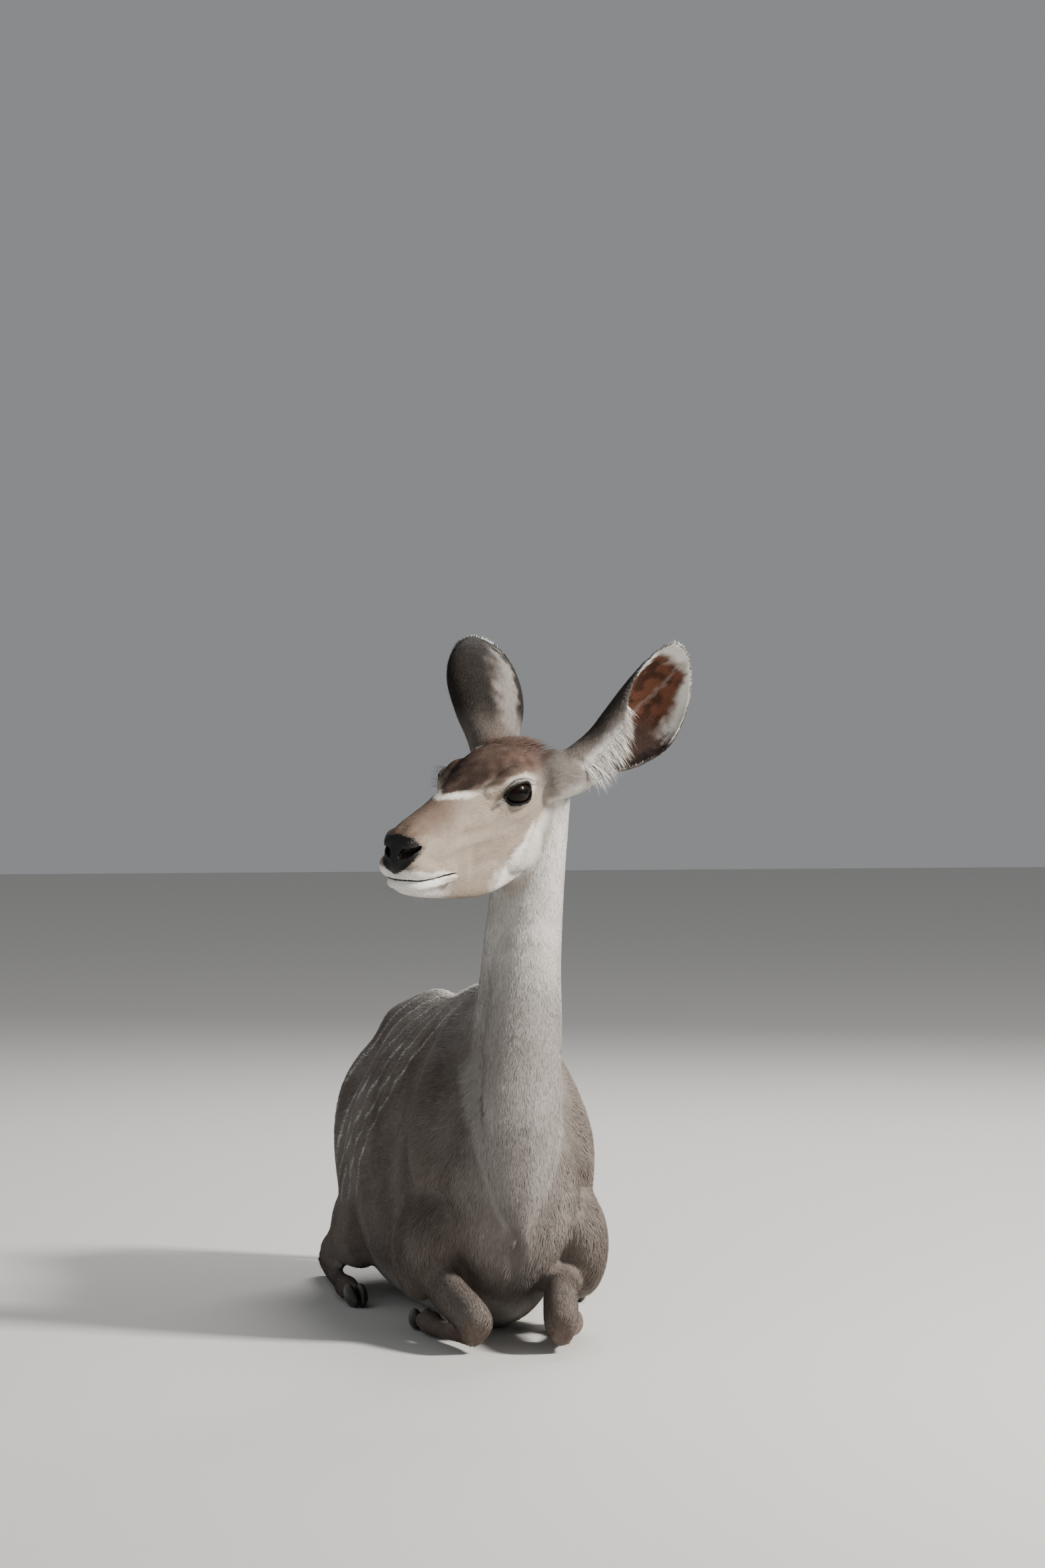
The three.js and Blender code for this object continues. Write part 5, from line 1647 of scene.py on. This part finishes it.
n = 5200
y = spread(n, -150, 590)
lean = RANDOM.standard_normal(n) * 6
at = np.stack([lean, y, trunk_top(y) - 6 - 0.03 * lean**2], 1)
ones = np.ones(n)
way = np.stack([0.02 * lean + 0.12 * RANDOM.standard_normal(n), ones, 0.55 * ones], 1)
long_hair("spine_crest", at, way, np.stack([0 * ones, 0.3 * ones, -0.35 * ones], 1),
          spread(n, 20, 36) * (1 - 0.35 * smooth_step(y, 200, 560)), spread(n, 1.1, 1.7),
          part_shares("trunk"), np.stack([y, lean], 1),
          {"grey": 0.55, "white": spread(n, 0.1, 0.75), "dark": 0.2 * (RANDOM.random(n) < 0.3)})

n = 1500
f, l = spread(n, -122, -50), RANDOM.standard_normal(n) * 13
at = on_head(np.stack([f, l, face_top(f) - 3 - 0.006 * l**2], 1))
way = head_way(np.stack([-0.9 * np.ones(n), l / 40, 0.62 + 0.15 * RANDOM.standard_normal(n)], 1))
bend = head_way([-0.5, 0, -0.4]) + np.zeros((n, 3))
long_hair("forehead_brush", at, way, bend, spread(n, 12, 25), spread(n, 0.9, 1.4), part_shares("head"),
          np.stack([f, l], 1), {"rufous": 0.7, "dark": spread(n, 0.1, 0.6), "white": 0})
print("coat triangles so far:", coat_triangles)

# %% [markdown]
# ## Ear fringes and rims
# Long white hairs leave the front rim of each ear and cross the cup. Shorter ones line the whole
# rim and point towards the tip, and they make the ear's pale, slightly ragged outline.

# %% Grow the ear hair
CLUMPS = 34
for name, ear in EARS.items():
    s, over = ear["s"], ear["across"] * ear["s"]
    n = 900
    clump = RANDOM.integers(0, CLUMPS, n)
    t = np.clip(0.06 + 0.47 * (clump + 0.5) / CLUMPS + 0.009 * RANDOM.standard_normal(n), 0.04, 0.56)
    turn = ear_turn(ear, t, -s * spread(n, 0.86, 0.995))
    at = ear_spot(ear, t, turn, 2.2)
    way = over * spread(n, 0.5, 0.9)[:, None] + ear["faces"] * spread(n, 0.35, 0.7)[:, None]
    way = way + ear["along"] * (spread(n, -0.1, 0.25) + 0.12 * np.sin(clump * 2.4))[:, None]
    bend = over * 0.3 - ear["along"] * (0.45 + 0.15 * np.sin(clump * 1.7) + spread(n, -0.1, 0.1))[:, None]
    long_hair("fringe_" + name[4:], at, way, bend, spread(n, 10, 40) * (1.1 - 0.9 * t),
              spread(n, 0.5, 0.9), part_shares(name), np.stack([t, turn], 1),
              {"white": 0.92, "dark": 0, "rufous": 0})
    n = 3600 if s > 0 else 2600
    t = spread(n, 0.16, 1)
    which = np.where(RANDOM.random(n) < 0.5, 1, -1)
    turn = ear_turn(ear, t, which * spread(n, 0.88, 1))
    at = ear_spot(ear, t, turn, 1.6)
    outer = ear["across"] * which[:, None]
    way = outer * 0.4 + ear["along"] * spread(n, 0.6, 1.3)[:, None] + ear["faces"] * 0.2
    rim_dark = np.where(which * s > 0, 0.96 if s < 0 else 0.8 * smooth_step(0.52 - t, -0.08, 0.1), 0.0)
    # On the far ear, the rim hair on the half turned from the light is darkened as painted shade.
    rim_dark = rim_dark + (s < 0) * np.where(which * s > 0, 0.0, 0.7)
    ragged = 1 + 0.5 * grain(at, 9, 7) * (s < 0)
    long_hair("rim_" + name[4:], at, way, ear["along"] * 0.2 - outer * 0.15, spread(n, 3, 6.5) * ragged,
              spread(n, 0.45, 0.75), part_shares(name), np.stack([t, turn], 1),
              {"white": spread(n, 0.35, 0.8) * (1 - rim_dark), "dark": rim_dark, "rufous": 0})
print("coat triangles so far:", coat_triangles)

# %% [markdown]
# ## Tail, lashes and whiskers
# The tail ends in a black tuft. The lashes are stiff and dark and curve out from the upper lid, and
# a few pale whiskers stand on the lips and the chin.

# %% Grow the tail tuft, lashes and whiskers
n = 3000
t = spread(n, 0.48, 0.97)
at, along, across, up, wide, deep, _ = course(TAIL_STOPS, SIDEWAYS)(t)
turn = spread(n, 0, 2 * math.pi)
out = across * np.cos(turn)[:, None] + up * np.sin(turn)[:, None]
at = at + across * (0.8 * wide * np.cos(turn))[:, None] + up * (0.8 * deep * np.sin(turn))[:, None]
long_hair("tail_tuft", at, along + 0.25 * out, -0.12 * out,
          spread(n, 26, 46) * (1 - 0.35 * smooth_step(t, 0.8, 0.97)), spread(n, 1.2, 1.9),
          part_shares("tail"), np.stack([t, turn], 1),
          {"dark": np.clip(smooth_step(t, 0.5, 0.72) + 0.2 * RANDOM.random(n), 0, 1), "rufous": 0.3})

for s, side in ((1, "left"), (-1, "right")):
    out, along, up = almond_axes(s)
    rim = almond_rim(s, 10, 0.6) - eye_centre(s)
    upper = eye_centre(s) + unit(rim[3:30]) * (EYEBALL + 2.4)
    n = 150
    seat = upper[np.linspace(0, 26, n).astype(int)] + RANDOM.standard_normal((n, 3)) * 0.5
    way = out + 0.25 * up + along * np.linspace(0.45, -0.45, n)[:, None]
    long_hair("lashes_" + side, seat, way, -0.25 * up + 0 * way, spread(n, 14, 24), spread(n, 0.6, 0.95),
              part_shares("head"), np.stack([np.linspace(0, 1, n), 0 * way[:, 0]], 1), {}, lash_material)
n = 46
f, s = spread(n, 150, 222), np.where(RANDOM.random(n) < 0.5, 1, -1)
high = np.where(RANDOM.random(n) < 0.55, -74 + spread(n, -6, 8), -104 + spread(n, -8, 4))
half = np.interp(f, [150, 182, 210, 225], [37, 34, 25, 12])
at = on_head(np.stack([f, s * half, high], 1))
way = head_way(np.stack([spread(n, 0.1, 0.6), s * 1.0, spread(n, -0.7, 0.1)], 1))
long_hair("whiskers", at, way, head_way([-0.2, 0, -0.25]) + 0 * way, spread(n, 14, 30),
          spread(n, 0.35, 0.5), part_shares("head"), np.stack([f, s * 1.0], 1), {}, whisker_material)
print("coat triangles in all:", coat_triangles)

# %% [markdown]
# ## Hooves
# Each foot ends in two pointed claws of horn. They are lofted from the same stops as the packed
# claws, with more points, and their upper ends are hidden in the pastern.

# %% Make the claws
CLAW_LENGTH = 58
FEET = {"forehoof_left": ([111, -152, 18.5], [0.05, 1, -0.02]),
        "forehoof_right": ([-117, -142, 18.5], [-0.05, 1, -0.02]),
        "hindhoof_left": ([188, 238, 19.5], [-0.05, -1, -0.1]),
        "hindhoof_right": ([-180, 216, 19.5], [0.05, -1, -0.1])}
CLAW = [[-7, 9.5, 0, 8.2, 14.4], [14, 10, 0, 8.4, 16.4], [34, 9, -2, 7.6, 13.4],
        [CLAW_LENGTH, 5, -6, 3.8, 5.6]]  # far, out, high, half width, half depth


def claws(coronet, way):
    """Two limbs side by side: wide at the coronet, tapering to a low toe."""
    way = unit(way)
    outward = unit(np.cross(way, [0, 0, 1]))
    shells = []
    for s in (1, -1):
        stops = [[*(np.array(coronet) + way * far + outward * s * out + [0, 0, high]), wide, deep]
                 for far, out, high, wide, deep in CLAW]
        points, faces = limb(stops, outward, 24, 20)
        points[:, 2] = np.maximum(points[:, 2], 0.3)
        shells.append((points, faces))
    return shells


for name, (coronet, way) in FEET.items():
    finish_piece(make_mesh(name, claws(coronet, way)), horn_material,
                 [name + "_outer", name + "_inner"])
print("feet:", len(FEET))

# %% [markdown]
# ## Floor and light
# A plain pale floor, a large soft lamp high on her left where the sun stands in the photograph, a
# weak one opposite it and one behind, and a pale room all round.

# %% Light the scene
floor = make_mesh("floor", [(np.array([[-14000, -9000, 0], [14000, -9000, 0], [14000, 16000, 0],
                                       [-14000, 16000, 0.0]]), [[0, 1, 2, 3]])])
floor.data.materials.append(floor_material)


def lamp(name, place, size, power, warmth):
    """A square lamp of that size in metres, aimed at the animal's neck."""
    data = bpy.data.lights.new(name, "AREA")
    data.size, data.energy, data.color = size, power, warmth
    made = bpy.data.objects.new(name, data)
    made.location = place
    to_neck = np.array([0, -0.2, 0.65]) - np.array(place)
    flat = math.hypot(to_neck[0], to_neck[1])
    tip, turn = math.atan2(flat, -to_neck[2]), math.atan2(to_neck[1], to_neck[0])
    made.rotation_euler = (tip, 0, turn - math.pi / 2)
    bpy.context.scene.collection.objects.link(made)


lamp("key", (4.4, -2.6, 3.8), 1.0, 820, (1, 0.96, 0.9))
lamp("fill", (-4.2, -3.6, 2.4), 3.5, 30, (0.9, 0.95, 1))
lamp("back", (1.6, 3.8, 3.6), 2.0, 170, (1, 0.98, 0.95))
world = bpy.data.worlds.new("pale room")
world.use_nodes = True
world.node_tree.nodes["Background"].inputs["Color"].default_value = (0.86, 0.88, 0.9, 1)
world.node_tree.nodes["Background"].inputs["Strength"].default_value = 0.3
bpy.context.scene.world = world
print("lamps:", len(bpy.data.lights))
